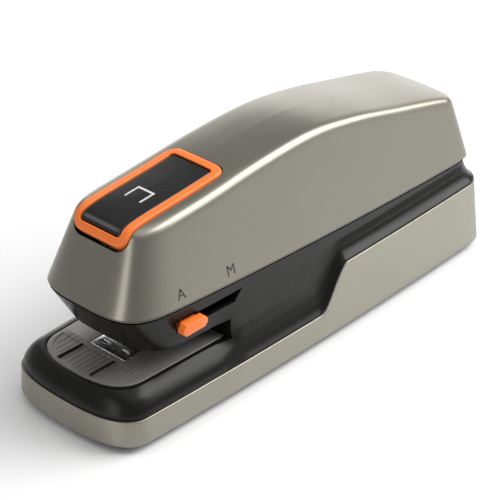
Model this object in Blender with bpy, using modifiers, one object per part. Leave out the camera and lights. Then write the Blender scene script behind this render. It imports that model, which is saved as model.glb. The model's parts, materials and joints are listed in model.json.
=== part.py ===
"""Electric stapler. Metres, +Z up, nose towards -Y, origin on the floor under the middle of the base."""

from math import asin, atan2, cos, pi, radians, sin

import bmesh
import bpy
from mathutils import Matrix, Vector

# Overall sizes
LENGTH = 0.210
BASE_HALF_WIDTH = 0.0327
ROOF_HEIGHT = 0.0839
FRONT = -LENGTH / 2
BACK = LENGTH / 2

# Clearances
GAP = 0.0003
SEAM = 0.00045
RUNNING = 0.0002

# Base: feet, plate and band
FOOT_RADIUS = 0.006
FOOT_HEIGHT = 0.0016
FOOT_RECESS = 0.0009
PLATE_LOW = 0.001
BAND_LOW = 0.003
BAND_WALL = 0.002
BAND_TOP_FRONT = 0.0133
BAND_TOP_REAR = 0.0302
BAND_STEP_START = -0.0015
BAND_STEP_LENGTH = 0.016
BAND_SIDE_DRAFT = 0.04
BAND_BACK_DRAFT = 0.10
BASE_NOSE_DEPTH = 0.0138
NOSE_POWER = 2.6

# Body shell
WALL = 0.002
TONGUE = 0.003
WAIST_HALF_WIDTH = BASE_HALF_WIDTH - 0.0059
BODY_BACK = BACK - 0.0055
BODY_FLARE = BACK - 0.0032
NOSE_TIP = FRONT + 0.0129
NOSE_TIP_HEIGHT = 0.045
NOSE_SLOPE = 0.61
NOSE_DEPTH = 0.026
UPPER_POWER = 3.8

# Paper throat and deck
DECK_TOP = 0.0223
THROAT_TOP = 0.0305
THROAT_BACK = FRONT + 0.060
DECK_HALF_WIDTH = BASE_HALF_WIDTH - 0.0085
DECK_FRONT = FRONT + 0.0065
DECK_PLATE = 0.0014
DECK_SLAB = 0.0018
ANVIL_HALF_WIDTH = 0.009
ANVIL_LENGTH = 0.0084

# Top cover
COVER_HALF_WIDTH = BASE_HALF_WIDTH - 0.0052
COVER_FRONT = FRONT + 0.0115
COVER_BACK = BACK - 0.0053
COVER_RISE = 0.0445
COVER_FALL = 0.041
COVER_WALL = 0.002
COVER_LEAN_FRONT = 0.0122
COVER_LEAN_BACK = 0.0045
COVER_LEAN_SIDE = 0.0092
COVER_LEAN_HEIGHT = 0.0355  # the side leans in by COVER_LEAN_SIDE over this height
COVER_ROUND = 0.0042  # half the height of the rounding between side and roof
COVER_CROWN = 0.0014
COVER_CORNER = 0.0065
COVER_POWER = 5.0  # squareness of the nose's plan outline at the roof
COVER_PULLS = (1.0, 2.0, 2.9)  # steering rings drawn in over the roof, in roundings
COVER_SIDE_SHARES = (0.0, 0.3, 0.65)
NOSE_SHRINK = 14  # share of the nose's depth lost per metre drawn in
CORNER_SHRINK = 45  # share of the rear corner lost per metre drawn in
RIDGE_INSET = 0.005  # from the last steering ring to the ridge line's ends
BEAD_HEIGHT = 0.0009

# Manual button
BUTTON_TILT = radians(40)
BUTTON_HALF_WIDTH = 0.013
BUTTON_FRONT = Vector((0, FRONT + 0.0207, ROOF_HEIGHT - 0.0127))
BUTTON_REAR = Vector((0, FRONT + 0.072, ROOF_HEIGHT - 0.0016))
BUTTON_CORNER = 0.003
RING_BAR = 0.003
RING_PROUD = 0.0013
CAP_PROUD = 0.0005
BUTTON_DEPTH = 0.0028
BUTTON_HINGE = Vector((0, FRONT + 0.067, ROOF_HEIGHT - 0.0084))
BUTTON_TRAVEL = radians(1.8)
BUTTON_PIN_RADIUS = 0.0009

# Stapling head
STAPLE_PLANE = FRONT + 0.0278
STAPLE_HALF_WIDTH = 0.00635
STAPLE_WIRE = 0.0006
STAPLE_LEG = 0.0058
STRIP_LENGTH = 0.050
MAGAZINE_FLOOR = 0.0327
MAGAZINE_WALL = 0.00095
MAGAZINE_HEIGHT = 0.0083
MAGAZINE_BACK = 0.012
HEAD_WALL = 0.0012
HEAD_TOP = 0.044
HEAD_BACK = 0.022
HEAD_PIVOT = Vector((0, 0.018, 0.037))
HEAD_DIP = radians(3.9)
PIN_RADIUS = 0.002
PUSHER_LENGTH = 0.0105
SPRING_PLACE = Vector((0.0055, FRONT + 0.057, 0.0625))
DRAWER_HALF_WIDTH = 0.0096
BLADE_THICKNESS = 0.0008
BLADE_TOP = 0.064
BLADE_STROKE = 0.0093

# Drive
LEVER_PIVOT = Vector((0, 0.014, 0.058))
LEVER_ARM_HEIGHT = 0.0046
LEVER_HALF_WIDTH = 0.0022
LEVER_NOSE = 0.003
CAM_CENTRE = Vector((0, 0.038, 0.041))
CAM_RADIUS = 0.010
CAM_TURN = pi
CAM_SHAFT_RADIUS = 0.0025
GEAR_MODULE = 0.001
CAM_GEAR_TEETH = 36
IDLER_LARGE_TEETH = 30
PINION_TEETH = 12
GEAR_WIDTH = 0.0046
IDLER_BEARING = radians(-14)
MOTOR_BEARING = radians(20)
TOOTH_BACKLASH = 0.00013
MOTOR_RADIUS = 0.0105
MOTOR_LENGTH = 0.026
MOTOR_SHAFT_RADIUS = 0.0012

# Chassis
CHASSIS_INSIDE = 0.0096
CHASSIS_PLATE = 0.0015
CHASSIS_TOP = 0.066
BRACKET_TOP = 0.0641
CHASSIS_FRONT = FRONT + 0.033
SPACER_RADIUS = 0.002

# Mode slider and sensor lever
SLOT_FRONT = FRONT + 0.0335
SLOT_BACK = FRONT + 0.064
SLOT_LOW = 0.0366
SLOT_HIGH = 0.041
KNOB_LENGTH = 0.0124
KNOB_PROUD = 0.003
SENSOR_PIVOT = Vector((0.015, THROAT_BACK - 0.002, 0.0355))
SENSOR_ARM = 0.0118
SENSOR_THICKNESS = 0.002

# Power jack
JACK_CENTRE = Vector((-0.014, 0.0, 0.017))
JACK_NOSE_RADIUS = 0.0047
JACK_HOLE_RADIUS = 0.0034
JACK_HOLE_DEPTH = 0.0095

SIDES = 24

COLOURS = {
    "silver_paint": ((0.30, 0.285, 0.26), 0.38, 0.75),
    "charcoal": ((0.045, 0.043, 0.042), 0.35, 0.2),
    "black": ((0.012, 0.012, 0.012), 0.45, 0.0),
    "orange": ((0.90, 0.20, 0.035), 0.42, 0.0),
    "steel": ((0.55, 0.55, 0.56), 0.3, 1.0),
    "dark_steel": ((0.16, 0.16, 0.165), 0.4, 0.9),
    "brass": ((0.70, 0.50, 0.20), 0.35, 1.0),
    "nylon": ((0.80, 0.78, 0.70), 0.5, 0.0),
    "rubber": ((0.02, 0.02, 0.02), 0.85, 0.0),
    "board_green": ((0.03, 0.16, 0.06), 0.5, 0.0),
}


def clear_scene():
    for item in list(bpy.data.objects):
        bpy.data.objects.remove(item, do_unlink=True)


def make_collection(name):
    collection = bpy.data.collections.new(name)
    bpy.context.scene.collection.children.link(collection)
    return collection


clear_scene()
PARTS = make_collection("electric_stapler")
CUTTERS = make_collection("cutters")
CUTTERS.hide_render = True


def material(name):
    found = bpy.data.materials.get(name)
    if found:
        return found
    colour, roughness, metallic = COLOURS[name]
    made = bpy.data.materials.new(name)
    made.use_nodes = True
    shader = made.node_tree.nodes["Principled BSDF"]
    shader.inputs["Base Color"].default_value = (*colour, 1)
    shader.inputs["Roughness"].default_value = roughness
    shader.inputs["Metallic"].default_value = metallic
    return made


def make_object(name, mesh, finish):
    """An object in the parts, or a hidden cutter where it has no finish."""
    made = bpy.data.objects.new(name, mesh)
    if finish:
        PARTS.objects.link(made)
        mesh.materials.append(material(finish))
    else:
        CUTTERS.objects.link(made)
        made.hide_render = True
        made.display_type = "WIRE"
    mesh.shade_smooth()
    mesh.set_sharp_from_angle(angle=radians(32))
    return made


def mesh_from(name, bm):
    mesh = bpy.data.meshes.new(name)
    bm.to_mesh(mesh)
    bm.free()
    return mesh


def box(name, low, high, finish=None):
    bm = bmesh.new()
    bmesh.ops.create_cube(bm, size=1)
    low, high = Vector(low), Vector(high)
    bmesh.ops.scale(bm, vec=high - low, verts=bm.verts)
    bmesh.ops.translate(bm, vec=(low + high) / 2, verts=bm.verts)
    return make_object(name, mesh_from(name, bm), finish)


def rod(name, start, end, radius, finish=None, sides=SIDES):
    """A round bar between two points."""
    start, end = Vector(start), Vector(end)
    bm = bmesh.new()
    bmesh.ops.create_cone(
        bm, cap_ends=True, segments=sides, radius1=radius, radius2=radius, depth=(end - start).length
    )
    turn = (end - start).to_track_quat("Z", "Y").to_matrix()
    bmesh.ops.rotate(bm, matrix=turn, verts=bm.verts)
    bmesh.ops.translate(bm, vec=(start + end) / 2, verts=bm.verts)
    return make_object(name, mesh_from(name, bm), finish)


def cross_rod(name, centre, left, right, radius, finish=None):
    """A round bar along X through a point of the side view."""
    return rod(name, (left, centre[1], centre[2]), (right, centre[1], centre[2]), radius, finish)


def flat_piece(name, outline, thickness, matrix, finish=None):
    """A flat outline made solid: a 2D curve with an extrude, turned into a mesh and put in place."""
    curve = bpy.data.curves.new(name + "_outline", "CURVE")
    curve.dimensions = "2D"
    curve.fill_mode = "BOTH"
    curve.extrude = thickness / 2
    spline = curve.splines.new("POLY")
    spline.points.add(len(outline) - 1)
    for point, (x, y) in zip(spline.points, outline):
        point.co = (x, y, 0, 1)
    spline.use_cyclic_u = True
    guide = bpy.data.objects.new(name + "_outline", curve)
    CUTTERS.objects.link(guide)
    bpy.context.view_layer.update()
    evaluated = guide.evaluated_get(bpy.context.evaluated_depsgraph_get())
    mesh = bpy.data.meshes.new_from_object(evaluated)
    mesh.name = name
    bpy.data.objects.remove(guide, do_unlink=True)
    bm = bmesh.new()
    bm.from_mesh(mesh)
    bmesh.ops.remove_doubles(bm, verts=bm.verts, dist=1e-7)
    bmesh.ops.transform(bm, matrix=matrix, verts=bm.verts)
    bmesh.ops.recalc_face_normals(bm, faces=bm.faces)
    bm.to_mesh(mesh)
    bm.free()
    return make_object(name, mesh, finish)


def side_view(middle):
    """Puts an outline drawn in (y, z) across X, centred on x = middle."""
    return Matrix(((0, 0, 1, middle), (1, 0, 0, 0), (0, 1, 0, 0), (0, 0, 0, 1)))


def side_plate(name, outline, left, right, finish=None):
    return flat_piece(name, outline, right - left, side_view((left + right) / 2), finish)


def boolean(target, tool, operation):
    modifier = target.modifiers.new(f"{operation.lower()}_{tool.name}", "BOOLEAN")
    modifier.operation = operation
    modifier.object = tool
    return target


def cut(target, *tools):
    for tool in tools:
        boolean(target, tool, "DIFFERENCE")
    return target


def join(target, *tools):
    for tool in tools:
        boolean(target, tool, "UNION")
    return target


# Curves of the outer form


def smooth_step(t):
    t = min(max(t, 0.0), 1.0)
    return t * t * (3 - 2 * t)


def mix(a, b, t):
    return a + (b - a) * t


def band_top(y):
    """Height of the band's top edge: low in front, a rounded step, tall behind."""
    return mix(BAND_TOP_FRONT, BAND_TOP_REAR, smooth_step((y - BAND_STEP_START) / BAND_STEP_LENGTH))


def cover_low(y):
    return COVER_RISE - COVER_FALL * y


ROOF = [
    (COVER_FRONT, ROOF_HEIGHT - 0.0070),
    (FRONT + 0.055, ROOF_HEIGHT - 0.0040),
    (FRONT + 0.085, ROOF_HEIGHT - 0.0012),
    (0.010, ROOF_HEIGHT - 0.0003),
    (0.035, ROOF_HEIGHT - 0.0036),
    (0.060, ROOF_HEIGHT - 0.0092),
    (0.080, ROOF_HEIGHT - 0.0138),
    (COVER_BACK, ROOF_HEIGHT - 0.0190),
]


def roof(y):
    """Height of the roof: a smooth curve through the roof's own points."""
    points = ROOF
    y = min(max(y, points[0][0]), points[-1][0])
    slopes = []
    for i, (_, height) in enumerate(points):
        before, after = points[max(i - 1, 0)], points[min(i + 1, len(points) - 1)]
        slopes.append((after[1] - before[1]) / (after[0] - before[0]))
    for i in range(len(points) - 1):
        (y0, z0), (y1, z1) = points[i], points[i + 1]
        if y <= y1:
            break
    span = y1 - y0
    t = (y - y0) / span
    rise = z0 * (2 * t**3 - 3 * t**2 + 1) + z1 * (3 * t**2 - 2 * t**3)
    return rise + span * (slopes[i] * (t**3 - 2 * t**2 + t) + slopes[i + 1] * (t**3 - t**2))


SIDE_BOW = 0.0022
BACK_BOW = 0.002
NOSE_STATIONS = [0.35, 0.65, 0.87]
SIDE_STATIONS = [THROAT_BACK + 0.004, THROAT_BACK + 0.023]
SIDE_STATIONS += [-0.002, 0.002, 0.005, 0.008, 0.011, 0.0145, 0.026, 0.040, 0.056, 0.070, BACK - 0.023]
FRONT_STEPS = 9
BACK_STEPS = 4


def half_outline(width, front, back, depth, power, corner=0.009):
    """Half of a plan outline from the nose round +X to the tail: oval nose, bowed sides, rounded tail."""
    shares = []
    for i in range(FRONT_STEPS + 1):
        t = pi / 2 * i / FRONT_STEPS
        shares.append((sin(t) ** (2 / power), front + depth * (1 - cos(t) ** (2 / power))))
    nose_end = front + depth
    shares += [(1, mix(nose_end, SIDE_STATIONS[0], t)) for t in NOSE_STATIONS]
    shares += [(1, y) for y in SIDE_STATIONS]
    for i in range(BACK_STEPS + 1):
        t = pi / 2 * i / BACK_STEPS
        y = back - corner * (1 - sin(t))
        shares.append((1 - corner * (1 - cos(t)) / width(y), y))
    shares.append((0, back))
    middle, reach = (front + back) / 2, (back - front) / 2
    points = []
    for share, y in shares:
        along = (y - middle) / reach
        x = share * (width(y) - SIDE_BOW * along**2)
        points.append((x, y - BACK_BOW * share**2 * max(along, 0)))
    return points


def level(outline, height):
    """One ring of a loft: an outline with its height, which may change along Y."""
    return [Vector((x, y, height(y) if callable(height) else height)) for x, y in outline]


def half_loft(name, levels, finish=None):
    """A closed form from half rings, bottom to top, capped to the middle and mirrored across X."""
    rings = [[Vector((0, p.y, p.z)) for p in levels[0]], *levels]
    rings.append([Vector((0, p.y, p.z)) for p in levels[-1]])
    bm = bmesh.new()
    rows = [[bm.verts.new(point) for point in ring] for ring in rings]
    for below, above in zip(rows, rows[1:]):
        for i in range(len(below) - 1):
            bm.faces.new((below[i], below[i + 1], above[i + 1], above[i]))
    bmesh.ops.remove_doubles(bm, verts=bm.verts, dist=1e-7)
    bmesh.ops.dissolve_degenerate(bm, edges=bm.edges, dist=1e-7)
    made = make_object(name, mesh_from(name, bm), finish)
    mirror = made.modifiers.new("halves", "MIRROR")
    mirror.merge_threshold = 1e-5
    return made


def even(width):
    return lambda y: width


# Base


def base_outline(inset, height=BAND_LOW):
    """Plan outline of the base at a height of the drafted band, moved in by inset."""
    rise = height - BAND_LOW
    width = BASE_HALF_WIDTH - inset - rise * BAND_SIDE_DRAFT
    front = -LENGTH / 2 + inset + rise * BAND_SIDE_DRAFT
    back = LENGTH / 2 - inset - rise * BAND_BACK_DRAFT
    return half_outline(even(width), front, back, BASE_NOSE_DEPTH, NOSE_POWER, 0.010)


def band_outline(inset, rise=0.0):
    """Plan outline along the band's stepped top edge, blended between its two heights."""
    low = base_outline(inset, BAND_TOP_FRONT + rise)
    high = base_outline(inset, BAND_TOP_REAR + rise)
    span = BAND_TOP_REAR - BAND_TOP_FRONT
    blended = []
    for (xl, yl), (xh, yh) in zip(low, high):
        t = (band_top(yl) - BAND_TOP_FRONT) / span
        blended.append((mix(xl, xh, t), mix(yl, yh, t)))
    return blended


def make_base_trim():
    rings = [level(base_outline(0), BAND_LOW), level(band_outline(0), band_top)]
    trim = half_loft("base_trim", rings, "silver_paint")
    inside = half_loft(
        "trim_inside",
        [
            level(base_outline(BAND_WALL), BAND_LOW - 0.002),
            level(base_outline(BAND_WALL), BAND_LOW),
            level(band_outline(BAND_WALL), band_top),
            level(band_outline(BAND_WALL), lambda y: band_top(y) + 0.002),
        ],
    )
    jack_way = rod(
        "trim_jack_way",
        (JACK_CENTRE.x, LENGTH / 2 - 0.012, JACK_CENTRE.z),
        (JACK_CENTRE.x, LENGTH / 2 + 0.005, JACK_CENTRE.z),
        JACK_NOSE_RADIUS + GAP,
    )
    return cut(trim, inside, jack_way)


FOOT_PLACES = [(x, y) for y in (FRONT + 0.021, BACK - 0.013) for x in (-0.022, 0.022)]
SCREW_PLACES = [(x, FRONT + 0.0165) for x in (-0.0125, 0.0125)]
SCREW_PLACES += [(x, BACK - 0.025) for x in (-0.0235, 0.0235)]
SCREW_HEAD = 0.003
SCREW_SHANK = 0.0015
BOSS_RADIUS = 0.0036
PLATE_TOP = BAND_LOW + 0.0014


def make_bottom_plate():
    tongue = BAND_WALL + GAP
    plate = half_loft(
        "bottom_plate",
        [
            level(base_outline(0.0025), PLATE_LOW),
            level(base_outline(0.0009), BAND_LOW - GAP),
            level(base_outline(tongue), BAND_LOW - GAP),
            level(base_outline(tongue), PLATE_TOP),
        ],
        "black",
    )
    for i, (x, y) in enumerate(FOOT_PLACES, 1):
        recess = rod(f"foot_recess_{i}", (x, y, 0), (x, y, PLATE_LOW + FOOT_RECESS), FOOT_RADIUS + GAP)
        cut(plate, recess)
        rod(f"foot_{i}", (x, y, 0), (x, y, FOOT_HEIGHT), FOOT_RADIUS, "rubber")
    for i, (x, y) in enumerate(SCREW_PLACES, 1):
        head_way = rod(f"screw_head_way_{i}", (x, y, 0), (x, y, 0.0029), SCREW_HEAD + GAP)
        shank_way = rod(f"screw_way_{i}", (x, y, 0), (x, y, 0.01), SCREW_SHANK + GAP)
        cut(plate, head_way, shank_way)
        screw = rod(f"base_screw_{i}", (x, y, 0.0013), (x, y, 0.0026), SCREW_HEAD, "dark_steel")
        shank = rod(f"screw_shank_{i}", (x, y, 0.002), (x, y, 0.0135), SCREW_SHANK)
        driver = box(f"screw_drive_{i}", (x - 0.0018, y - 0.0004, 0), (x + 0.0018, y + 0.0004, 0.0019))
        join(screw, shank)
        cut(screw, driver)


# Body shell

FRONT_HEIGHTS = [0.0, 0.0018, 0.0037, 0.0058, 0.0074, 0.0091, 0.0122, 0.0172, 0.0222, 0.0282]
REAR_HEIGHTS = [0.0, 0.0006, 0.0014, 0.0024, 0.0033, 0.0042, 0.0051, 0.006, 0.0069, 0.0078]
DECK_INSETS = [0.0008, 0.0011, 0.0019, 0.0033, 0.0051, 0.0078, 0.0069, 0.0062, 0.0058, 0.0057]
WAIST_INSETS = [0.0008, 0.0019, 0.0028, 0.0035, 0.0040, 0.0044, 0.0049, 0.0053, 0.0056, 0.0057]
TAIL_INSETS = [0.0015, 0.0022, 0.0030, 0.0037, 0.0042, 0.0046, 0.0049, 0.0052, 0.0055, 0.0057]
DECK_SETBACKS = [0.0012, 0.0014, 0.0021, 0.0032, 0.0042, 0.0055]


def body_top(y):
    return cover_low(y) - 2 * SEAM - BEAD_HEIGHT


def nose_front(z):
    return NOSE_TIP + (NOSE_TIP_HEIGHT - z) * NOSE_SLOPE


def body_levels(inset=0.0):
    """Rings of the shell's outside from the band's edge to the seam, or of its inside where inset."""
    rings = []
    count = len(FRONT_HEIGHTS)
    start_front, start_rear = BAND_TOP_FRONT + SEAM, BAND_TOP_REAR + SEAM
    for k in range(count + 1):

        def height(y, k=k):
            t = smooth_step((y - BAND_STEP_START) / BAND_STEP_LENGTH)
            if k == count:
                return body_top(y)
            return mix(start_front + FRONT_HEIGHTS[k], start_rear + REAR_HEIGHTS[k], t)

        def width(y, k=min(k, count - 1)):
            at_waist = smooth_step((y - THROAT_BACK + 0.010) / 0.014)
            at_tail = smooth_step((y - BAND_STEP_START) / BAND_STEP_LENGTH)
            setback = mix(mix(DECK_INSETS[k], WAIST_INSETS[k], at_waist), TAIL_INSETS[k], at_tail)
            return BASE_HALF_WIDTH - setback - inset

        if k < len(DECK_SETBACKS):
            front, depth, power = FRONT + DECK_SETBACKS[k], BASE_NOSE_DEPTH, NOSE_POWER
        else:
            front, depth, power = nose_front(height(NOSE_TIP)), NOSE_DEPTH, UPPER_POWER
        back = mix(BODY_FLARE, BODY_BACK, min(k / 6, 1.0) ** 0.6)
        outline = half_outline(width, front + inset, back - inset, depth, power)
        rings.append(level(outline, height))
    return rings


def make_body_shell():
    rings = body_levels()
    tongue = band_outline(BAND_WALL + GAP)
    foot = [
        level(tongue, lambda y: band_top(y) - TONGUE),
        level(tongue, lambda y: band_top(y) + SEAM),
    ]
    shell = half_loft("body_shell", foot + rings, "charcoal")
    inner = band_outline(BAND_WALL + GAP + WALL)
    hollow_rings = body_levels(WALL)
    lid = [Vector((p.x, p.y, p.z + 0.004)) for p in hollow_rings[-1]]
    hollow = half_loft(
        "shell_hollow",
        [level(inner, lambda y: band_top(y) - TONGUE - 0.002), level(inner, lambda y: band_top(y) + SEAM)]
        + hollow_rings[3:]
        + [lid],
    )
    slab_low = DECK_TOP - DECK_PLATE - GAP - DECK_SLAB
    keep = box("throat_block", (-0.05, FRONT - 0.02, slab_low), (0.05, THROAT_BACK + WALL, THROAT_TOP + WALL))
    cut(hollow, keep)
    throat = box("throat", (-0.05, FRONT - 0.02, DECK_TOP), (0.05, THROAT_BACK, THROAT_TOP))
    cut(shell, hollow, throat, deck_recess(), *magazine_window(), slider_slot(), *sensor_slots())
    for i, (x, y) in enumerate(SCREW_PLACES, 1):
        top = slab_low + 0.0009 if y < THROAT_BACK else 0.034
        boss = rod(f"screw_boss_{i}", (x, y, PLATE_TOP + GAP), (x, y, top), BOSS_RADIUS)
        bore = rod(f"screw_bore_{i}", (x, y, 0), (x, y, 0.0145), SCREW_SHANK + GAP)
        join(shell, boss)
        cut(shell, bore)
    return shell


def deck_outline(inset):
    return half_outline(
        even(DECK_HALF_WIDTH - inset),
        DECK_FRONT + inset,
        BACK - 0.015,
        BASE_NOSE_DEPTH,
        NOSE_POWER,
    )


def deck_recess():
    outline = deck_outline(0)
    recess = half_loft(
        "deck_recess",
        [level(outline, DECK_TOP - DECK_PLATE - GAP), level(outline, DECK_TOP + 0.001)],
    )
    end = box("deck_recess_end", (-0.05, THROAT_BACK - GAP, 0), (0.05, 0.2, 0.05))
    return cut(recess, end)


def magazine_window():
    """The way the stapling head takes through the nose: out of the front, and down when it staples."""
    side = DRAWER_HALF_WIDTH + GAP
    rear = THROAT_BACK + 0.004
    return (
        box("nose_opening", (-side, FRONT, DECK_TOP + 0.004), (side, rear, THROAT_TOP + WALL + 0.0001)),
        box(
            "nose_front_opening",
            (-side, FRONT, THROAT_TOP - 0.001),
            (side, STAPLE_PLANE - 0.0008, drawer_top() + GAP),
        ),
    )


def drawer_top():
    return HEAD_TOP + 0.0003


def slider_slot():
    lean = 0.002
    outline = [
        (SLOT_FRONT, SLOT_LOW),
        (SLOT_BACK - lean, SLOT_LOW),
        (SLOT_BACK + lean, SLOT_HIGH),
        (SLOT_FRONT, SLOT_HIGH),
    ]
    return side_plate("slider_slot", outline, 0.020, 0.035)


def sensor_slots():
    x = SENSOR_PIVOT.x
    half = SENSOR_THICKNESS / 2 + 0.0006
    wall = THROAT_BACK
    return (
        box("sensor_wall_slot", (x - half, wall - 0.0025, 0.0228), (x + half, wall + 0.0035, 0.0327)),
        box("sensor_floor_slot", (x - half, wall - 0.0125, 0.0295), (x + half, wall + 0.0025, 0.0329)),
    )


def make_deck():
    outline = deck_outline(GAP)
    low = DECK_TOP - DECK_PLATE
    plate = half_loft("deck_plate", [level(outline, low), level(outline, DECK_TOP)], "dark_steel")
    end = box("deck_end", (-0.05, THROAT_BACK - 0.0006, 0), (0.05, 0.2, 0.05))
    half, reach = ANVIL_HALF_WIDTH, ANVIL_LENGTH / 2
    middle = STAPLE_PLANE
    seat = box(
        "anvil_seat", (-half - GAP, middle - reach - GAP, 0), (half + GAP, middle + reach + GAP, 0.05)
    )
    cut(plate, end, seat)
    anvil = box("anvil_plate", (-half, middle - reach, low), (half, middle + reach, DECK_TOP), "steel")
    for side in (-1, 1):
        near, far = side * 0.0028, side * (STAPLE_HALF_WIDTH + 0.0006)
        pocket = box(
            f"anvil_pocket_{'left' if side < 0 else 'right'}",
            (min(near, far), middle - 0.001, DECK_TOP - 0.0007),
            (max(near, far), middle + 0.001, DECK_TOP + 0.001),
        )
        cut(anvil, pocket)


# Top cover and its seam bead



def side_height(y):
    """Height of the cover's side wall, from its lower edge up to the crowned roof."""
    return roof(y) - COVER_CROWN - cover_low(y)


def cover_width(y, rise):
    return COVER_HALF_WIDTH - COVER_LEAN_SIDE * rise / COVER_LEAN_HEIGHT


def cover_ring(grow, share=1.0, drop=0.0, pull=0.0):
    """Ring of the cover's outside: part way up the side, below the roof's edge, or drawn in over the roof."""

    def rise(y):
        if share < 1:
            return share * (side_height(y) - 2 * COVER_ROUND)
        return side_height(y) - drop

    at_nose, at_tail = (rise(y) / side_height(y) for y in (COVER_FRONT + COVER_LEAN_FRONT / 2, COVER_BACK))
    outline = half_outline(
        lambda y: cover_width(y, rise(y)) - pull + grow,
        COVER_FRONT + COVER_LEAN_FRONT * at_nose + pull - grow,
        COVER_BACK - COVER_LEAN_BACK * at_tail - pull + grow,
        NOSE_DEPTH * (1 - NOSE_SHRINK * pull),
        mix(UPPER_POWER, COVER_POWER, at_nose),
        COVER_CORNER * (1 - CORNER_SHRINK * pull),
    )
    crown = COVER_CROWN * (1 - (1 - pull / cover_width(0, side_height(0))) ** 2)
    return level(outline, lambda y: cover_low(y) + rise(y) + crown + grow * rise(y) / side_height(y))


def spline_ring(rings, i, t):
    """Ring at share t of the way from ring i to the next, on the cubic B-spline that the rings steer."""
    weights = (
        (1 - t) ** 3 / 6,
        (3 * t**3 - 6 * t**2 + 4) / 6,
        (-3 * t**3 + 3 * t**2 + 3 * t + 1) / 6,
        t**3 / 6,
    )
    near = rings[i - 1 : i + 3]
    return [sum((w * p for w, p in zip(weights, points)), Vector()) for points in zip(*near)]


def cover_levels(grow=0.0):
    """Rings of the cover's outside, moved out by grow: straight side, rounded edge and crowned roof."""
    r = COVER_ROUND
    rings = [cover_ring(grow, share=share) for share in COVER_SIDE_SHARES]
    rings += [cover_ring(grow, drop=drop) for drop in (2 * r, r, 0.0)]
    rings += [cover_ring(grow, pull=r * pull) for pull in COVER_PULLS]
    low, high = rings[-1][0].y + RIDGE_INSET, rings[-1][-1].y - RIDGE_INSET
    ridge = [min(max(p.y, low), high) for p in rings[-1]]
    ridge = [Vector((0, y, roof(y) + grow)) for y in ridge]
    rings += [ridge, ridge]
    levels = [rings[0]]
    for i in range(1, len(rings) - 2):
        levels.append(spline_ring(rings, i, 0.0))
        if 3 <= i <= 6:
            levels.append(spline_ring(rings, i, 0.5))
    return levels + [ridge]


def lowered(ring, depth):
    return [Vector((p.x, p.y, p.z - depth)) for p in ring]


def cover_solid(name, grow, extra=0.0):
    rings = cover_levels(grow)
    if extra:
        rings.insert(0, lowered(rings[0], extra))
    return half_loft(name, rings)


def make_top_cover():
    cover = half_loft("top_cover", cover_levels(), "silver_paint")
    cut(cover, cover_solid("cover_hollow", -COVER_WALL, 0.003))
    lug = BUTTON_HINGE
    for side in (-1, 1):
        near, far = sorted((side * 0.0139, side * 0.0158))
        ear = box(
            f"cover_ear_{'left' if side < 0 else 'right'}",
            (near, lug.y - 0.0025, lug.z - 0.0025),
            (far, lug.y + 0.0025, roof(lug.y) - 0.001),
        )
        join(cover, ear)
    bore = cross_rod("cover_ear_bore", lug, -0.017, 0.017, BUTTON_PIN_RADIUS + RUNNING)
    opening = button_prism("button_opening", -SEAM, 0.0013)
    cut(cover, opening, bore)


def make_cover_gasket():
    outline_width = COVER_HALF_WIDTH - 0.0005
    front, back = COVER_FRONT + 0.0006, COVER_BACK - 0.0005
    outer = half_outline(even(outline_width), front, back, NOSE_DEPTH, UPPER_POWER)
    inner = half_outline(
        even(outline_width - 0.002), front + 0.002, back - 0.002, NOSE_DEPTH, UPPER_POWER
    )
    low = lambda y: body_top(y) + SEAM
    high = lambda y: body_top(y) + SEAM + BEAD_HEIGHT
    bead = half_loft("cover_gasket", [level(outer, low), level(outer, high)], "charcoal")
    hole = half_loft(
        "gasket_hole", [level(inner, lambda y: low(y) - 0.001), level(inner, lambda y: high(y) + 0.001)]
    )
    cut(bead, hole)


# Manual button


def tilted(point):
    """Place of a side-view point along the button's tilted plane."""
    return point.y * cos(BUTTON_TILT) + point.z * sin(BUTTON_TILT)


def rounded_rectangle(half_width, low, high, corner, steps=4):
    points = []
    for cx, cy, start in (
        (half_width - corner, low + corner, -90),
        (half_width - corner, high - corner, 0),
        (-half_width + corner, high - corner, 90),
        (-half_width + corner, low + corner, 180),
    ):
        for i in range(steps + 1):
            t = radians(start + 90 * i / steps)
            points.append((cx + corner * cos(t), cy + corner * sin(t)))
    return points


def button_prism(name, inset, front_extra=0.0):
    """The button's outline as a long tilted prism, moved in by inset."""
    front, rear = tilted(BUTTON_FRONT), tilted(BUTTON_REAR)
    corner = max(BUTTON_CORNER - inset, 0.0008)
    outline = rounded_rectangle(
        BUTTON_HALF_WIDTH - inset, front + inset - front_extra + min(inset, 0), rear - inset, corner
    )
    c, s = cos(BUTTON_TILT), sin(BUTTON_TILT)
    depth = 0.098
    matrix = Matrix(((1, 0, 0, 0), (0, c, -s, -s * depth), (0, s, c, c * depth), (0, 0, 0, 1)))
    return flat_piece(name, outline, 0.045, matrix)


def button_skin(name, proud, prism, finish):
    """The part of the cover's form inside a prism, from its proud face to the button's depth."""
    skin = half_loft(name, cover_levels(proud), finish)
    cut(skin, cover_solid(name + "_hollow", -BUTTON_DEPTH, 0.003))
    boolean(skin, prism, "INTERSECT")
    return skin


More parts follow.
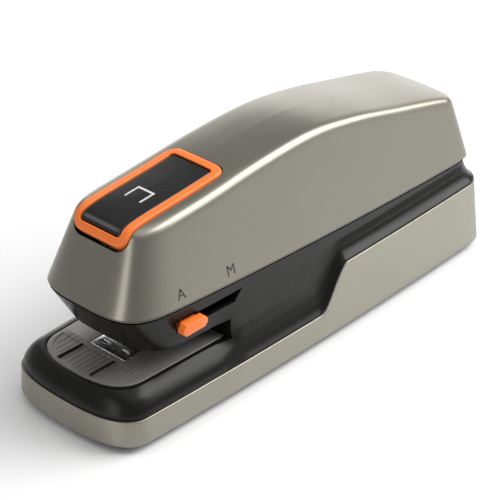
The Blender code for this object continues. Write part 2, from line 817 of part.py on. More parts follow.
def make_button():
    ring = button_skin("button_ring", RING_PROUD, button_prism("ring_outer", 0), "orange")
    cut(ring, button_prism("ring_inner", RING_BAR))
    cap = button_skin("button_cap", CAP_PROUD, button_prism("cap_outer", RING_BAR + GAP), "black")
    hinge = BUTTON_HINGE
    under = roof(hinge.y) - 0.002
    lugs = [
        box(
            f"cap_lug_{'left' if side < 0 else 'right'}",
            (min(side * 0.0055, side * 0.0075), hinge.y - 0.0022, hinge.z - 0.0022),
            (max(side * 0.0055, side * 0.0075), hinge.y + 0.0014, under),
        )
        for side in (-1, 1)
    ]
    front = hinge.y - 0.031
    plunger = box("cap_plunger", (-0.0015, front, 0.0688), (0.0015, front + 0.003, roof(front) - 0.001))
    join(cap, *lugs, plunger)
    cut(cap, cross_rod("cap_lug_bore", hinge, -0.01, 0.01, BUTTON_PIN_RADIUS + RUNNING))
    cross_rod("button_pin", hinge, -0.0156, 0.0156, BUTTON_PIN_RADIUS, "steel")
    low = Vector((0, hinge.y - 0.019, BRACKET_TOP + 0.0005))
    high = Vector((0, low.y, roof(low.y) - BUTTON_DEPTH - 0.0006))
    coil("button_spring", low, high, 0.0028, 0.00035, 6, "steel")


def coil(name, start, end, radius, wire, turns, finish):
    """A coil spring between two points."""
    axis = end - start
    turn = axis.to_track_quat("Z", "Y")
    curve = bpy.data.curves.new(name, "CURVE")
    curve.dimensions = "3D"
    curve.bevel_depth = wire
    curve.bevel_resolution = 2
    curve.use_fill_caps = True
    per_turn = 9
    count = turns * per_turn + 1
    spline = curve.splines.new("POLY")
    spline.points.add(count - 1)
    for i in range(count):
        angle = 2 * pi * i / per_turn
        height = wire + (axis.length - 2 * wire) * i / (count - 1)
        place = start + turn @ Vector((radius * cos(angle), radius * sin(angle), height))
        spline.points[i].co = (*place, 1)
    made = bpy.data.objects.new(name, curve)
    PARTS.objects.link(made)
    curve.materials.append(material(finish))
    return made


# Stapling head


def make_head():
    inside = STAPLE_HALF_WIDTH + 0.0003 + MAGAZINE_WALL + GAP
    outside = inside + HEAD_WALL
    front = STAPLE_PLANE - 0.0012
    floor = MAGAZINE_FLOOR - GAP
    outline = [
        (front, floor - 0.0008),
        (HEAD_BACK, floor - 0.0008),
        (HEAD_BACK, HEAD_TOP),
        (front + 0.009, HEAD_TOP),
        (front + 0.007, HEAD_TOP + 0.006),
        (front, HEAD_TOP + 0.006),
    ]
    frame = side_plate("head_frame", outline, -outside, outside, "dark_steel")
    hollow = box("head_hollow", (-inside, FRONT, floor), (inside, BACK, 0.08))
    mouth = box("head_mouth", (-inside, FRONT, 0.02), (inside, STAPLE_PLANE + 0.0035, 0.08))
    bore = cross_rod("head_bore", HEAD_PIVOT, -0.02, 0.02, PIN_RADIUS + RUNNING)
    cut(frame, hollow, mouth, bore)
    bridge_top = HEAD_TOP + 0.0006
    bridge = box(
        "head_bridge",
        (-outside + 0.0004, SPRING_PLACE.y - 0.0035, HEAD_TOP - 0.0008),
        (outside - 0.0004, SPRING_PLACE.y + 0.0035, bridge_top),
    )
    join(frame, bridge)
    reach = PLATE_OUTSIDE + 0.0005
    cross_rod("head_pin", HEAD_PIVOT, -reach, reach, PIN_RADIUS, "steel")
    half = inside - GAP
    guide = box("blade_guide", (-half, front + 0.0002, 0.0423), (half, front + 0.0036, 0.0454), "steel")
    slot = box(
        "blade_slot",
        (-0.0065, STAPLE_PLANE - BLADE_THICKNESS / 2 - GAP, 0.03),
        (0.0065, STAPLE_PLANE + BLADE_THICKNESS / 2 + GAP, 0.07),
    )
    cut(guide, slot)
    low = Vector((SPRING_PLACE.x, SPRING_PLACE.y, bridge_top + GAP))
    high = Vector((low.x, low.y, SPRING_PLACE.z - SPACER_RADIUS - GAP))
    coil("head_spring", low, high, 0.0024, 0.0004, 8, "steel")


def make_driver_blade():
    half = BLADE_THICKNESS / 2
    low = MAGAZINE_FLOOR + MAGAZINE_HEIGHT + 0.0006
    blade = box(
        "driver_blade", (-0.0062, STAPLE_PLANE - half, low), (0.0062, STAPLE_PLANE + half, BLADE_TOP), "steel"
    )
    reach = LEVER_ARM_HEIGHT / 2 + 0.0006
    window = box(
        "blade_window",
        (-LEVER_HALF_WIDTH - 0.0004, FRONT, LEVER_PIVOT.z - reach),
        (LEVER_HALF_WIDTH + 0.0004, 0, LEVER_PIVOT.z + reach),
    )
    cut(blade, window)


def make_magazine():
    inside = STAPLE_HALF_WIDTH + 0.0003
    outside = inside + MAGAZINE_WALL
    floor, front, back = MAGAZINE_FLOOR, STAPLE_PLANE - 0.0009, MAGAZINE_BACK
    top = floor + MAGAZINE_HEIGHT
    channel = box("magazine_channel", (-outside, front, floor), (outside, back, top), "dark_steel")
    cut(channel, box("channel_hollow", (-inside, FRONT, floor + 0.0008), (inside, back + 0.01, 0.06)))
    cut(channel, box("channel_mouth", (-inside, FRONT, 0.02), (inside, STAPLE_PLANE + 0.0013, 0.06)))

    core_half = STAPLE_HALF_WIDTH - STAPLE_WIRE - 0.0004
    core_low, core_top = floor + 0.0008 + GAP, floor + 0.0062
    core_front = STAPLE_PLANE + 0.0012
    core = box("magazine_core", (-core_half, core_front, core_low), (core_half, back, core_top), "steel")
    groove = box(
        "core_groove",
        (-core_half + 0.0009, core_front + 0.0018, core_low + 0.0008),
        (core_half - 0.0009, back - 0.0012, 0.06),
    )
    cut(core, groove)

    strip_front = STAPLE_PLANE + BLADE_THICKNESS / 2 + GAP
    crown = core_top + GAP + STAPLE_WIRE
    legs = crown - STAPLE_LEG
    strip = box(
        "staple_strip",
        (-STAPLE_HALF_WIDTH, strip_front, legs),
        (STAPLE_HALF_WIDTH, strip_front + STRIP_LENGTH, crown),
        "steel",
    )
    inner_half = STAPLE_HALF_WIDTH - STAPLE_WIRE
    cut(strip, box("strip_hollow", (-inner_half, FRONT, 0.02), (inner_half, BACK, crown - STAPLE_WIRE)))

    push_front = strip_front + STRIP_LENGTH + GAP
    push_back = push_front + PUSHER_LENGTH
    pusher = box(
        "staple_pusher", (-STAPLE_HALF_WIDTH + 0.0001, push_front, legs + 0.0003),
        (STAPLE_HALF_WIDTH - 0.0001, push_back, crown + 0.0009), "orange"
    )
    cut(pusher, box("pusher_hollow", (-inner_half, FRONT, 0.02), (inner_half, BACK, crown - STAPLE_WIRE)))
    tab = box(
        "pusher_tab",
        (-0.0032, push_front + 0.002, core_low + 0.0013),
        (0.0032, push_front + 0.005, crown + 0.0005),
    )
    join(pusher, tab)
    spring_height = (core_low + core_top) / 2 + 0.0008
    coil(
        "pusher_spring", Vector((0, push_front + 0.0053, spring_height)),
        Vector((0, back - 0.0015, spring_height)), 0.0015, 0.00025, 9, "steel"
    )


def make_magazine_front():
    """The nose's own end: the front face of the drawer."""
    rings = [
        level(
            half_outline(
                lambda y: WAIST_HALF_WIDTH, nose_front(z), BODY_BACK, NOSE_DEPTH, UPPER_POWER
            ),
            z,
        )
        for z in (THROAT_TOP + GAP, drawer_top())
    ]
    front = half_loft("magazine_front", rings, "charcoal")
    rear = STAPLE_PLANE - 0.0015
    bounds = box("drawer_bounds", (-DRAWER_HALF_WIDTH, FRONT, 0.02), (DRAWER_HALF_WIDTH, rear, 0.06))
    boolean(front, bounds, "INTERSECT")


# Drive


def lever_stroke():
    """Drop of the blade at the end of its stroke: the head's dip and the blade's own travel."""
    return (HEAD_PIVOT.y - STAPLE_PLANE) * sin(HEAD_DIP) + BLADE_STROKE


def lever_angle():
    return atan2(lever_stroke(), LEVER_PIVOT.y - STAPLE_PLANE)


def cam_lift():
    arm = CAM_CENTRE.y - LEVER_PIVOT.y
    drop = LEVER_PIVOT.z - lever_nose_centre().z
    angle = lever_angle()
    return arm * sin(angle) + drop * (1 - cos(angle))


def lever_nose_centre():
    return Vector((0, CAM_CENTRE.y, CAM_CENTRE.z + CAM_RADIUS + LEVER_NOSE + GAP))


def make_lever():
    hub = LEVER_PIVOT
    hub_radius = 0.0058
    half = LEVER_ARM_HEIGHT / 2
    tip = STAPLE_PLANE - 0.0032
    nose = lever_nose_centre()
    outline = [(tip, hub.z - half)]
    join_angle = asin(half / hub_radius)
    for i in range(9):
        t = pi + join_angle + (1.62 * pi - pi - join_angle) * i / 8
        outline.append((hub.y + hub_radius * cos(t), hub.z + hub_radius * sin(t)))
    for i in range(9):
        t = 1.42 * pi + (1.1 * pi) * i / 8
        outline.append((nose.y + LEVER_NOSE * cos(t), nose.z + LEVER_NOSE * sin(t)))
    for i in range(7):
        t = 0.42 * pi + (pi - join_angle - 0.42 * pi) * i / 6
        outline.append((hub.y + hub_radius * cos(t), hub.z + hub_radius * sin(t)))
    outline.append((tip, hub.z + half))
    lever = side_plate("drive_lever", outline, -LEVER_HALF_WIDTH, LEVER_HALF_WIDTH, "steel")
    cut(lever, cross_rod("lever_bore", hub, -0.01, 0.01, PIN_RADIUS + RUNNING))
    reach = PLATE_OUTSIDE + 0.0005
    cross_rod("lever_pin", hub, -reach, reach, PIN_RADIUS, "steel")


def cam_outline():
    """The cam: its radius grows evenly over half a turn and falls back over the rest."""
    points = []
    steps = 48
    lift = cam_lift()
    for i in range(steps):
        turned = 2 * pi * i / steps
        if turned <= CAM_TURN:
            radius = CAM_RADIUS + lift * turned / CAM_TURN
        else:
            back = (turned - CAM_TURN) / (2 * pi - CAM_TURN)
            radius = CAM_RADIUS + lift * (1 - smooth_step(back * 1.15))
        angle = pi / 2 - turned
        points.append((CAM_CENTRE.y + radius * cos(angle), CAM_CENTRE.z + radius * sin(angle)))
    return points[::-1]


def gear_outline(centre, teeth, phase):
    """Gear teeth with a little backlash: six points to a tooth."""
    pitch = GEAR_MODULE * teeth / 2
    shape = (
        (-1.12 * GEAR_MODULE, -0.84 * GEAR_MODULE),
        (0.0, -pi / 4 * GEAR_MODULE + TOOTH_BACKLASH),
        (0.85 * GEAR_MODULE, -0.33 * GEAR_MODULE),
        (0.85 * GEAR_MODULE, 0.33 * GEAR_MODULE),
        (0.0, pi / 4 * GEAR_MODULE - TOOTH_BACKLASH),
        (-1.12 * GEAR_MODULE, 0.84 * GEAR_MODULE),
    )
    points = []
    for tooth in range(teeth):
        middle = phase + 2 * pi * tooth / teeth
        for rise, along in shape:
            radius = pitch + rise
            angle = middle + along / pitch
            points.append((centre.y + radius * cos(angle), centre.z + radius * sin(angle)))
    return points


def step_out(centre, distance, bearing):
    return centre + Vector((0, distance * cos(bearing), distance * sin(bearing)))


IDLER_CENTRE = step_out(CAM_CENTRE, GEAR_MODULE * (CAM_GEAR_TEETH + PINION_TEETH) / 2, IDLER_BEARING)
MOTOR_CENTRE = step_out(IDLER_CENTRE, GEAR_MODULE * (IDLER_LARGE_TEETH + PINION_TEETH) / 2, MOTOR_BEARING)
PLATE_OUTSIDE = CHASSIS_INSIDE + CHASSIS_PLATE
GEAR_PLANE = PLATE_OUTSIDE + 0.0009
SECOND_PLANE = GEAR_PLANE + GEAR_WIDTH + 0.0008


def make_drive():
    reach = SECOND_PLANE - 0.0002
    shaft = cross_rod("cam_shaft", CAM_CENTRE, -PLATE_OUTSIDE - 0.001, reach, CAM_SHAFT_RADIUS, "steel")
    join(shaft, side_plate("cam_lobe", cam_outline(), -0.003, 0.003))

    gear = side_plate(
        "cam_gear",
        gear_outline(CAM_CENTRE, CAM_GEAR_TEETH, IDLER_BEARING),
        GEAR_PLANE,
        GEAR_PLANE + GEAR_WIDTH,
        "nylon",
    )
    cut(gear, cross_rod("cam_gear_bore", CAM_CENTRE, 0, 0.03, CAM_SHAFT_RADIUS + RUNNING))

    idler = side_plate(
        "idler_gear",
        gear_outline(IDLER_CENTRE, PINION_TEETH, IDLER_BEARING + pi + pi / PINION_TEETH),
        GEAR_PLANE + 0.0001,
        SECOND_PLANE + 0.0005,
        "nylon",
    )
    wheel = side_plate(
        "idler_wheel",
        gear_outline(IDLER_CENTRE, IDLER_LARGE_TEETH, MOTOR_BEARING),
        SECOND_PLANE,
        SECOND_PLANE + GEAR_WIDTH * 0.6,
    )
    join(idler, wheel)
    cut(idler, cross_rod("idler_bore", IDLER_CENTRE, 0, 0.03, PIN_RADIUS + RUNNING))
    end = SECOND_PLANE + GEAR_WIDTH * 0.6
    cross_rod("idler_shaft", IDLER_CENTRE, CHASSIS_INSIDE - 0.001, end + 0.0006, PIN_RADIUS, "steel")

    pinion = side_plate(
        "motor_pinion",
        gear_outline(MOTOR_CENTRE, PINION_TEETH, MOTOR_BEARING + pi + pi / PINION_TEETH),
        SECOND_PLANE - 0.0002,
        end + 0.0002,
        "brass",
    )
    cut(pinion, cross_rod("pinion_bore", MOTOR_CENTRE, 0, 0.03, MOTOR_SHAFT_RADIUS + RUNNING))
    face = CHASSIS_INSIDE - GAP
    cross_rod("motor_shaft", MOTOR_CENTRE, face + 0.0004, end + 0.0008, MOTOR_SHAFT_RADIUS, "steel")
    can = cross_rod("motor_can", MOTOR_CENTRE, face - MOTOR_LENGTH, face, MOTOR_RADIUS, "steel")
    cut(can, cross_rod("motor_mouth", MOTOR_CENTRE, face - 0.002, face + 0.001, 0.0025))
    back = face - MOTOR_LENGTH
    cross_rod("motor_end_cap", MOTOR_CENTRE, back - 0.0023, back - GAP, 0.0075, "black")


# Chassis and switches


def make_chassis():
    low = PLATE_TOP + GAP
    left_outline = [
        (THROAT_BACK + 0.005, low),
        (0.062, low),
        (0.062, 0.056),
        (0.045, CHASSIS_TOP),
        (CHASSIS_FRONT, CHASSIS_TOP),
        (CHASSIS_FRONT, 0.0475),
        (THROAT_BACK + 0.005, 0.0475),
    ]
    right_outline = [
        (THROAT_BACK + 0.005, low),
        (MOTOR_CENTRE.y + 0.010, low),
        (MOTOR_CENTRE.y + 0.010, MOTOR_CENTRE.z + 0.007),
        (0.062, 0.056),
        *left_outline[3:],
    ]
    left = side_plate("chassis_left", left_outline, -PLATE_OUTSIDE, -CHASSIS_INSIDE, "dark_steel")
    right = side_plate("chassis_right", right_outline, CHASSIS_INSIDE, PLATE_OUTSIDE, "dark_steel")
    bores = [
        cross_rod("head_pin_way", HEAD_PIVOT, -0.02, 0.02, PIN_RADIUS + RUNNING),
        cross_rod("lever_pin_way", LEVER_PIVOT, -0.02, 0.02, PIN_RADIUS + RUNNING),
        cross_rod("cam_shaft_way", CAM_CENTRE, -0.02, 0.02, CAM_SHAFT_RADIUS + RUNNING),
    ]
    spacers = [("spacer_front", SPRING_PLACE), ("spacer_rear", Vector((0, 0.056, 0.012)))]
    for name, centre in spacers:
        bores.append(cross_rod(name + "_way", centre, -0.02, 0.02, SPACER_RADIUS + RUNNING))
        cross_rod(name, centre, -PLATE_OUTSIDE - 0.0008, PLATE_OUTSIDE + 0.0008, SPACER_RADIUS, "steel")
    cut(left, *bores)
    cut(right, *bores)
    cut(right, cross_rod("idler_shaft_way", IDLER_CENTRE, 0, 0.02, PIN_RADIUS + RUNNING))
    cut(right, cross_rod("motor_shaft_way", MOTOR_CENTRE, 0, 0.02, 0.0028))
    inside = CHASSIS_INSIDE - GAP
    front, top = CHASSIS_FRONT + 0.0005, BRACKET_TOP
    box("switch_bracket", (-inside, front, top - 0.0016), (inside, front + 0.019, top), "dark_steel")
    box("button_switch", (-0.003, front, top + 0.0004), (0.003, front + 0.008, top + 0.0034), "black")


def make_electrics():
    face = 0.0212
    thickness = 0.0016
    box("circuit_board", (-face, -0.030, 0.0185), (-face + thickness, 0.055, 0.0400), "board_green")
    inner = -face + thickness + GAP
    rod("capacitor", (inner, -0.016, 0.029), (-PLATE_OUTSIDE - 0.0008, -0.016, 0.029), 0.005, "black")
    box("home_switch", (inner, 0.030, 0.0225), (-PLATE_OUTSIDE - 0.0008, 0.042, 0.0285), "black")
    x = SENSOR_PIVOT.x
    front = THROAT_BACK + 0.0065
    box("paper_switch", (x - 0.003, front, 0.0335), (x + 0.003, front + 0.0085, 0.0385), "black")
    side = WAIST_HALF_WIDTH - 0.006
    front = SLOT_FRONT + 0.0025
    box("mode_switch", (side - 0.0043, front, SLOT_LOW), (side, front + 0.011, SLOT_HIGH + 0.0005), "black")


def make_jack():
    x, _, z = JACK_CENTRE
    rear = LENGTH / 2 - (z - BAND_LOW) * BAND_BACK_DRAFT - BAND_WALL - 0.003
    jack = box("power_jack", (x - 0.0055, rear - 0.013, z - 0.006), (x + 0.0055, rear, z + 0.006), "black")
    nose = rod("jack_nose", (x, rear - 0.002, z), (x, rear + 0.0042, z), JACK_NOSE_RADIUS)
    hole = rod("jack_hole", (x, rear + 0.0042 - JACK_HOLE_DEPTH, z), (x, rear + 0.01, z), JACK_HOLE_RADIUS)
    join(jack, nose)
    cut(jack, hole)


# Mode slider and paper sensing lever


def make_mode_slider():
    side = WAIST_HALF_WIDTH
    low, high = SLOT_LOW - 0.0001, SLOT_HIGH + 0.0001
    front = SLOT_FRONT - 0.0007
    back = front + KNOB_LENGTH
    bevel = 0.0015
    outline = [
        (front, low + bevel),
        (front + bevel, low),
        (back - bevel, low),
        (back, low + bevel),
        (back, high - bevel),
        (back - bevel, high),
        (front + bevel, high),
        (front, high - bevel),
    ]
    knob = side_plate("mode_slider", outline, side, side + KNOB_PROUD, "orange")
    middle = (front + back) / 2
    inner = side - WALL - 0.0023
    stem = box(
        "slider_stem",
        (inner - 0.0005, middle - 0.0035, SLOT_LOW + 0.0006),
        (side + 0.001, middle + 0.0035, SLOT_HIGH - 0.0006),
    )
    plate = box(
        "slider_plate",
        (inner - 0.0014, middle - 0.005, SLOT_LOW - 0.0014),
        (inner, middle + 0.005, SLOT_HIGH + 0.0014),
    )
    join(knob, stem, plate)


def make_sensor_lever():
    pivot = SENSOR_PIVOT
    half = SENSOR_THICKNESS / 2
    lean = radians(20)
    tip = (pivot.y - SENSOR_ARM * sin(lean), pivot.z - SENSOR_ARM * cos(lean))
    outline = []
    for i in range(9):
        t = -lean + pi * i / 8
        outline.append((pivot.y + 0.0026 * cos(t), pivot.z + 0.0026 * sin(t)))
    for i in range(7):
        t = pi - lean + pi * i / 6
        outline.append((tip[0] + 0.0011 * cos(t), tip[1] + 0.0011 * sin(t)))
    lever = side_plate("sensor_lever", outline, pivot.x - half, pivot.x + half, "black")
    cut(lever, cross_rod("sensor_bore", pivot, 0.005, 0.025, 0.0011 + RUNNING))
    cross_rod("sensor_pin", pivot, PLATE_OUTSIDE + 0.0006, pivot.x + 0.0040, 0.0011, "steel")


def hang(name, place, parts, parent=None):
    """An empty on a joint's axis that carries the parts of one moving body."""
    empty = bpy.data.objects.new(name, None)
    PARTS.objects.link(empty)
    empty.empty_display_size = 0.004
    empty.location = place
    if parent:
        empty.parent = parent
        empty.matrix_parent_inverse = Matrix.Translation(-world_place(parent))
    for part in parts:
        piece = bpy.data.objects[part]
        piece.parent = empty
        piece.matrix_parent_inverse = Matrix.Translation(-Vector(place))
    return empty


def world_place(empty):
    return Vector(empty.location)


def make_joints():
    hang("button_joint", BUTTON_HINGE, ["button_ring", "button_cap"])
    head = hang("head_joint", HEAD_PIVOT, ["head_frame", "blade_guide"])
    hang("blade_joint", Vector((0, STAPLE_PLANE, HEAD_TOP)), ["driver_blade"], head)
    drawer_parts = ["magazine_front", "magazine_channel", "magazine_core", "staple_strip", "pusher_spring"]
    drawer = hang("drawer_joint", Vector((0, STAPLE_PLANE, MAGAZINE_FLOOR)), drawer_parts, head)
    hang("pusher_joint", Vector((0, MAGAZINE_BACK, MAGAZINE_FLOOR)), ["staple_pusher"], drawer)
    hang("lever_joint", LEVER_PIVOT, ["drive_lever"])
    hang("cam_joint", CAM_CENTRE, ["cam_shaft", "cam_gear"])
    hang("idler_joint", IDLER_CENTRE, ["idler_gear"])
    hang("pinion_joint", MOTOR_CENTRE, ["motor_pinion", "motor_shaft"])
    hang("mode_joint", Vector((WAIST_HALF_WIDTH, SLOT_FRONT, SLOT_LOW)), ["mode_slider"])
    hang("sensor_joint", SENSOR_PIVOT, ["sensor_lever"])


make_bottom_plate()
make_base_trim()
make_body_shell()
make_deck()
make_top_cover()
make_cover_gasket()
make_button()
make_head()
make_driver_blade()
make_magazine()
make_magazine_front()
make_lever()
make_drive()
make_chassis()
make_electrics()
make_jack()
make_mode_slider()
make_sensor_lever()
make_joints()
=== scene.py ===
import json
from math import cos, pi, radians, sin

import bmesh
import bpy
from mathutils import Matrix, Vector
from mathutils.bvhtree import BVHTree

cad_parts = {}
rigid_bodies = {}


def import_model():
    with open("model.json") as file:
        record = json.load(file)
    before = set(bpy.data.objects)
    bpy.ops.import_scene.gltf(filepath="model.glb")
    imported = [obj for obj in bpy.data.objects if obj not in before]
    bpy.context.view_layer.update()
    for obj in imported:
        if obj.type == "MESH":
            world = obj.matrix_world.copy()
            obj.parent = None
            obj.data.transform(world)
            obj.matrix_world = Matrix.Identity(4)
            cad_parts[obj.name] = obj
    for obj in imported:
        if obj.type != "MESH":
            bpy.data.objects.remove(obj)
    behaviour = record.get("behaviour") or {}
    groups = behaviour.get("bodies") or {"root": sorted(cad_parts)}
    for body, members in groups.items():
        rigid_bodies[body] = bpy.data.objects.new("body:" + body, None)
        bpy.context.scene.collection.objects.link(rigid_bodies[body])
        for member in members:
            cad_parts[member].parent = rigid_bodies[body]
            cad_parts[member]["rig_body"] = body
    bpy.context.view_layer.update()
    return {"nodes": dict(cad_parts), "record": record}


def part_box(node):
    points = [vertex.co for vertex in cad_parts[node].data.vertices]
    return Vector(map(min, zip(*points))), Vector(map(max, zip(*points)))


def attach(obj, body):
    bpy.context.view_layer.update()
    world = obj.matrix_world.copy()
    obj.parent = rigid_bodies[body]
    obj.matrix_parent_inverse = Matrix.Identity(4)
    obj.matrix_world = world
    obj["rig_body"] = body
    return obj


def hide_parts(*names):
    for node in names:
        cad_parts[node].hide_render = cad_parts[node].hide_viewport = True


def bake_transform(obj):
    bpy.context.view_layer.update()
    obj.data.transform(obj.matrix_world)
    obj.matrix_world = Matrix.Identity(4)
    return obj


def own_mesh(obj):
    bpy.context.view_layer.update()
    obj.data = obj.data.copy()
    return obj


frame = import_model()
slotOfNode = {part["node"]: part["material_slot"] for part in frame["record"]["subparts"]}
print("frame loaded:", len(frame["nodes"]), "nodes")


# shared shape tools

def smooth(t):
    t = min(max(t, 0.0), 1.0)
    return t * t * (3 - 2 * t)


def mix(a, b, t):
    return a + (b - a) * t


def meshObject(name, bm, smoothAngle=32):
    mesh = bpy.data.meshes.new(name)
    bm.to_mesh(mesh)
    bm.free()
    mesh.shade_smooth()
    mesh.set_sharp_from_angle(angle=radians(smoothAngle))
    made = bpy.data.objects.new(name, mesh)
    bpy.context.scene.collection.objects.link(made)
    return made


def bakeModifiers(piece, smoothAngle=32):  # the evaluated mesh becomes the piece's own
    graph = bpy.context.evaluated_depsgraph_get()
    mesh = bpy.data.meshes.new_from_object(piece.evaluated_get(graph))
    bm = bmesh.new()
    bm.from_mesh(mesh)
    bmesh.ops.remove_doubles(bm, verts=bm.verts, dist=1e-6)
    bmesh.ops.dissolve_degenerate(bm, edges=bm.edges, dist=1e-7)
    bm.to_mesh(mesh)
    bm.free()
    piece.modifiers.clear()
    piece.data = mesh
    mesh.shade_smooth()
    mesh.set_sharp_from_angle(angle=radians(smoothAngle))
    return piece


def combine(piece, tools, operation, smoothAngle=32):
    for tool in tools:
        modifier = piece.modifiers.new("cut", "BOOLEAN")
        modifier.operation = operation
        modifier.solver = "EXACT"
        modifier.object = tool
        bpy.context.view_layer.update()
        bakeModifiers(piece, smoothAngle)
        bpy.data.objects.remove(tool)
    return piece


def cut(piece, *tools):
    return combine(piece, tools, "DIFFERENCE")


def boxMesh(bm, low, high):
    made = bmesh.ops.create_cube(bm, size=1.0)["verts"]
    low, high = Vector(low), Vector(high)
    size = high - low
    bmesh.ops.scale(bm, vec=size, verts=made)
    bmesh.ops.translate(bm, vec=(low + high) / 2, verts=made)
    return made


def block(name, low, high):
    bm = bmesh.new()
    boxMesh(bm, low, high)
    return meshObject(name, bm)


def disc(bm, start, end, radius, segments=48, endRadius=None):  # a rod or cone between two points
    start, end = Vector(start), Vector(end)
    axis = end - start
    turn = axis.to_track_quat("Z", "Y").to_matrix().to_4x4()
    place = Matrix.Translation((start + end) / 2) @ turn
    return bmesh.ops.create_cone(
        bm, cap_ends=True, segments=segments, radius1=radius,
        radius2=radius if endRadius is None else endRadius, depth=axis.length, matrix=place,
    )["verts"]


def rod(name, start, end, radius, segments=48):
    bm = bmesh.new()
    disc(bm, start, end, radius, segments)
    return meshObject(name, bm)


def splineRings(rings, parts, through=True):  # more rings between the given ones, column by column
    dense = []
    for k in range(len(rings) - 1):
        a, b, c, d = (rings[min(max(k + step, 0), len(rings) - 1)] for step in (-1, 0, 1, 2))
        for step in range(parts):
            t = step / parts
            if through:
                weights = (-t + 2 * t**2 - t**3, 2 - 5 * t**2 + 3 * t**3,
                           t + 4 * t**2 - 3 * t**3, t**3 - t**2)
                weights = [w / 2 for w in weights]
            else:
                weights = ((1 - t) ** 3, 3 * t**3 - 6 * t**2 + 4, -3 * t**3 + 3 * t**2 + 3 * t + 1, t**3)
                weights = [w / 6 for w in weights]
            columns = zip(a, b, c, d)
            dense.append([sum((w * p for w, p in zip(weights, four)), Vector()) for four in columns])
    dense.append([Vector(point) for point in rings[-1]])
    return dense


def gridForm(name, rows, closeAcross=False, smoothAngle=32):  # one grid, each point set to its place
    bm = bmesh.new()
    across, up = len(rows[0]) - 1, len(rows) - 1
    bmesh.ops.create_grid(bm, x_segments=across, y_segments=up, size=0.5)
    left = min(vert.co.x for vert in bm.verts)
    low = min(vert.co.y for vert in bm.verts)
    reach = -2 * left
    for vert in bm.verts:
        i = round((vert.co.x - left) / reach * across)
        j = round((vert.co.y - low) / reach * up)
        vert.co = rows[j][i]
        if not closeAcross and abs(vert.co.x) < 2e-5:
            vert.co.x = 0.0
    bmesh.ops.remove_doubles(bm, verts=bm.verts, dist=2e-6)
    if not closeAcross:
        whole = bm.verts[:] + bm.edges[:] + bm.faces[:]
        bmesh.ops.mirror(bm, geom=whole, axis="X", merge_dist=1e-6)
        bmesh.ops.remove_doubles(bm, verts=bm.verts, dist=1e-6)
    bmesh.ops.dissolve_degenerate(bm, edges=bm.edges, dist=1e-7)
    bmesh.ops.recalc_face_normals(bm, faces=bm.faces)
    return meshObject(name, bm, smoothAngle)


def halfForm(name, rings, smoothAngle=32):  # half rings bottom to top, closed to the middle and mirrored
    rows = [[Vector((0, p.y, p.z)) for p in rings[0]], *rings]
    if max(p.x for p in rings[-1]) > 0:
        rows.append([Vector((0, p.y, p.z)) for p in rings[-1]])
    return gridForm(name, rows, smoothAngle=smoothAngle)


def standFor(piece, *nodes, body=None):  # the piece takes the nodes' place and body
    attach(piece, body or frame["nodes"][nodes[0]]["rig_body"])
    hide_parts(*nodes)
    return piece


def dress(piece, material):
    piece.data.materials.clear()
    piece.data.materials.append(material)
    return piece


# the stapler's plan outlines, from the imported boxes

stapler = {
    "length": 0.210,
    "halfWidth": 0.0327,
    "roof": 0.0839,
    "gap": 0.0003,
    "seam": 0.00045,
    "wall": 0.002,
    "noseSteps": 26,
    "sideSteps": 96,
    "tailSteps": 10,
    "sideBow": 0.0022,
    "backBow": 0.002,
}
front, back = -stapler["length"] / 2, stapler["length"] / 2
seam, gap, wall = stapler["seam"], stapler["gap"], stapler["wall"]
throatBack = front + 0.060
waist = stapler["halfWidth"] - 0.0059
staplePlane = front + 0.0278


def halfOutline(width, nose, tail, depth, power, corner=0.009):
    s = stapler
    shares = []
    for i in range(s["noseSteps"] + 1):
        t = pi / 2 * i / s["noseSteps"]
        shares.append((sin(t) ** (2 / power), nose + depth * (1 - max(cos(t), 0) ** (2 / power))))
    noseEnd, sideStart, sideEnd = nose + depth, throatBack + 0.004, back - 0.023
    shares += [(1, mix(noseEnd, sideStart, t / 12)) for t in range(1, 12)]
    shares += [(1, mix(sideStart, sideEnd, t / s["sideSteps"])) for t in range(s["sideSteps"] + 1)]
    for i in range(s["tailSteps"] + 1):
        t = pi / 2 * i / s["tailSteps"]
        y = tail - corner * (1 - sin(t))
        shares.append((1 - corner * (1 - cos(t)) / width(y), y))
    last = shares[-1][0]
    shares += [(last * (1 - t / 8), tail) for t in range(1, 9)]
    middle, reach = (nose + tail) / 2, (tail - nose) / 2
    points = []
    for share, y in shares:
        along = (y - middle) / reach
        x = share * (width(y) - s["sideBow"] * along**2)
        points.append((x, y - s["backBow"] * share**2 * max(along, 0)))
    return points


def ringAt(outline, height):
    return [Vector((x, y, height(y) if callable(height) else height)) for x, y in outline]


def moved(ring, z):
    return [Vector((p.x, p.y, p.z + z)) for p in ring]


def even(width):
    return lambda y: width


# finishes: shared effects first

def newGroup(name, inputs, outputs):
    group = bpy.data.node_groups.new(name, "ShaderNodeTree")
    for label, value in inputs.items():
        socket = group.interface.new_socket(name=label, in_out="INPUT", socket_type="NodeSocketFloat")
        socket.default_value = value
    for label, kind in outputs.items():
        group.interface.new_socket(name=label, in_out="OUTPUT", socket_type=kind)
    return group, group.nodes.new("NodeGroupInput"), group.nodes.new("NodeGroupOutput")


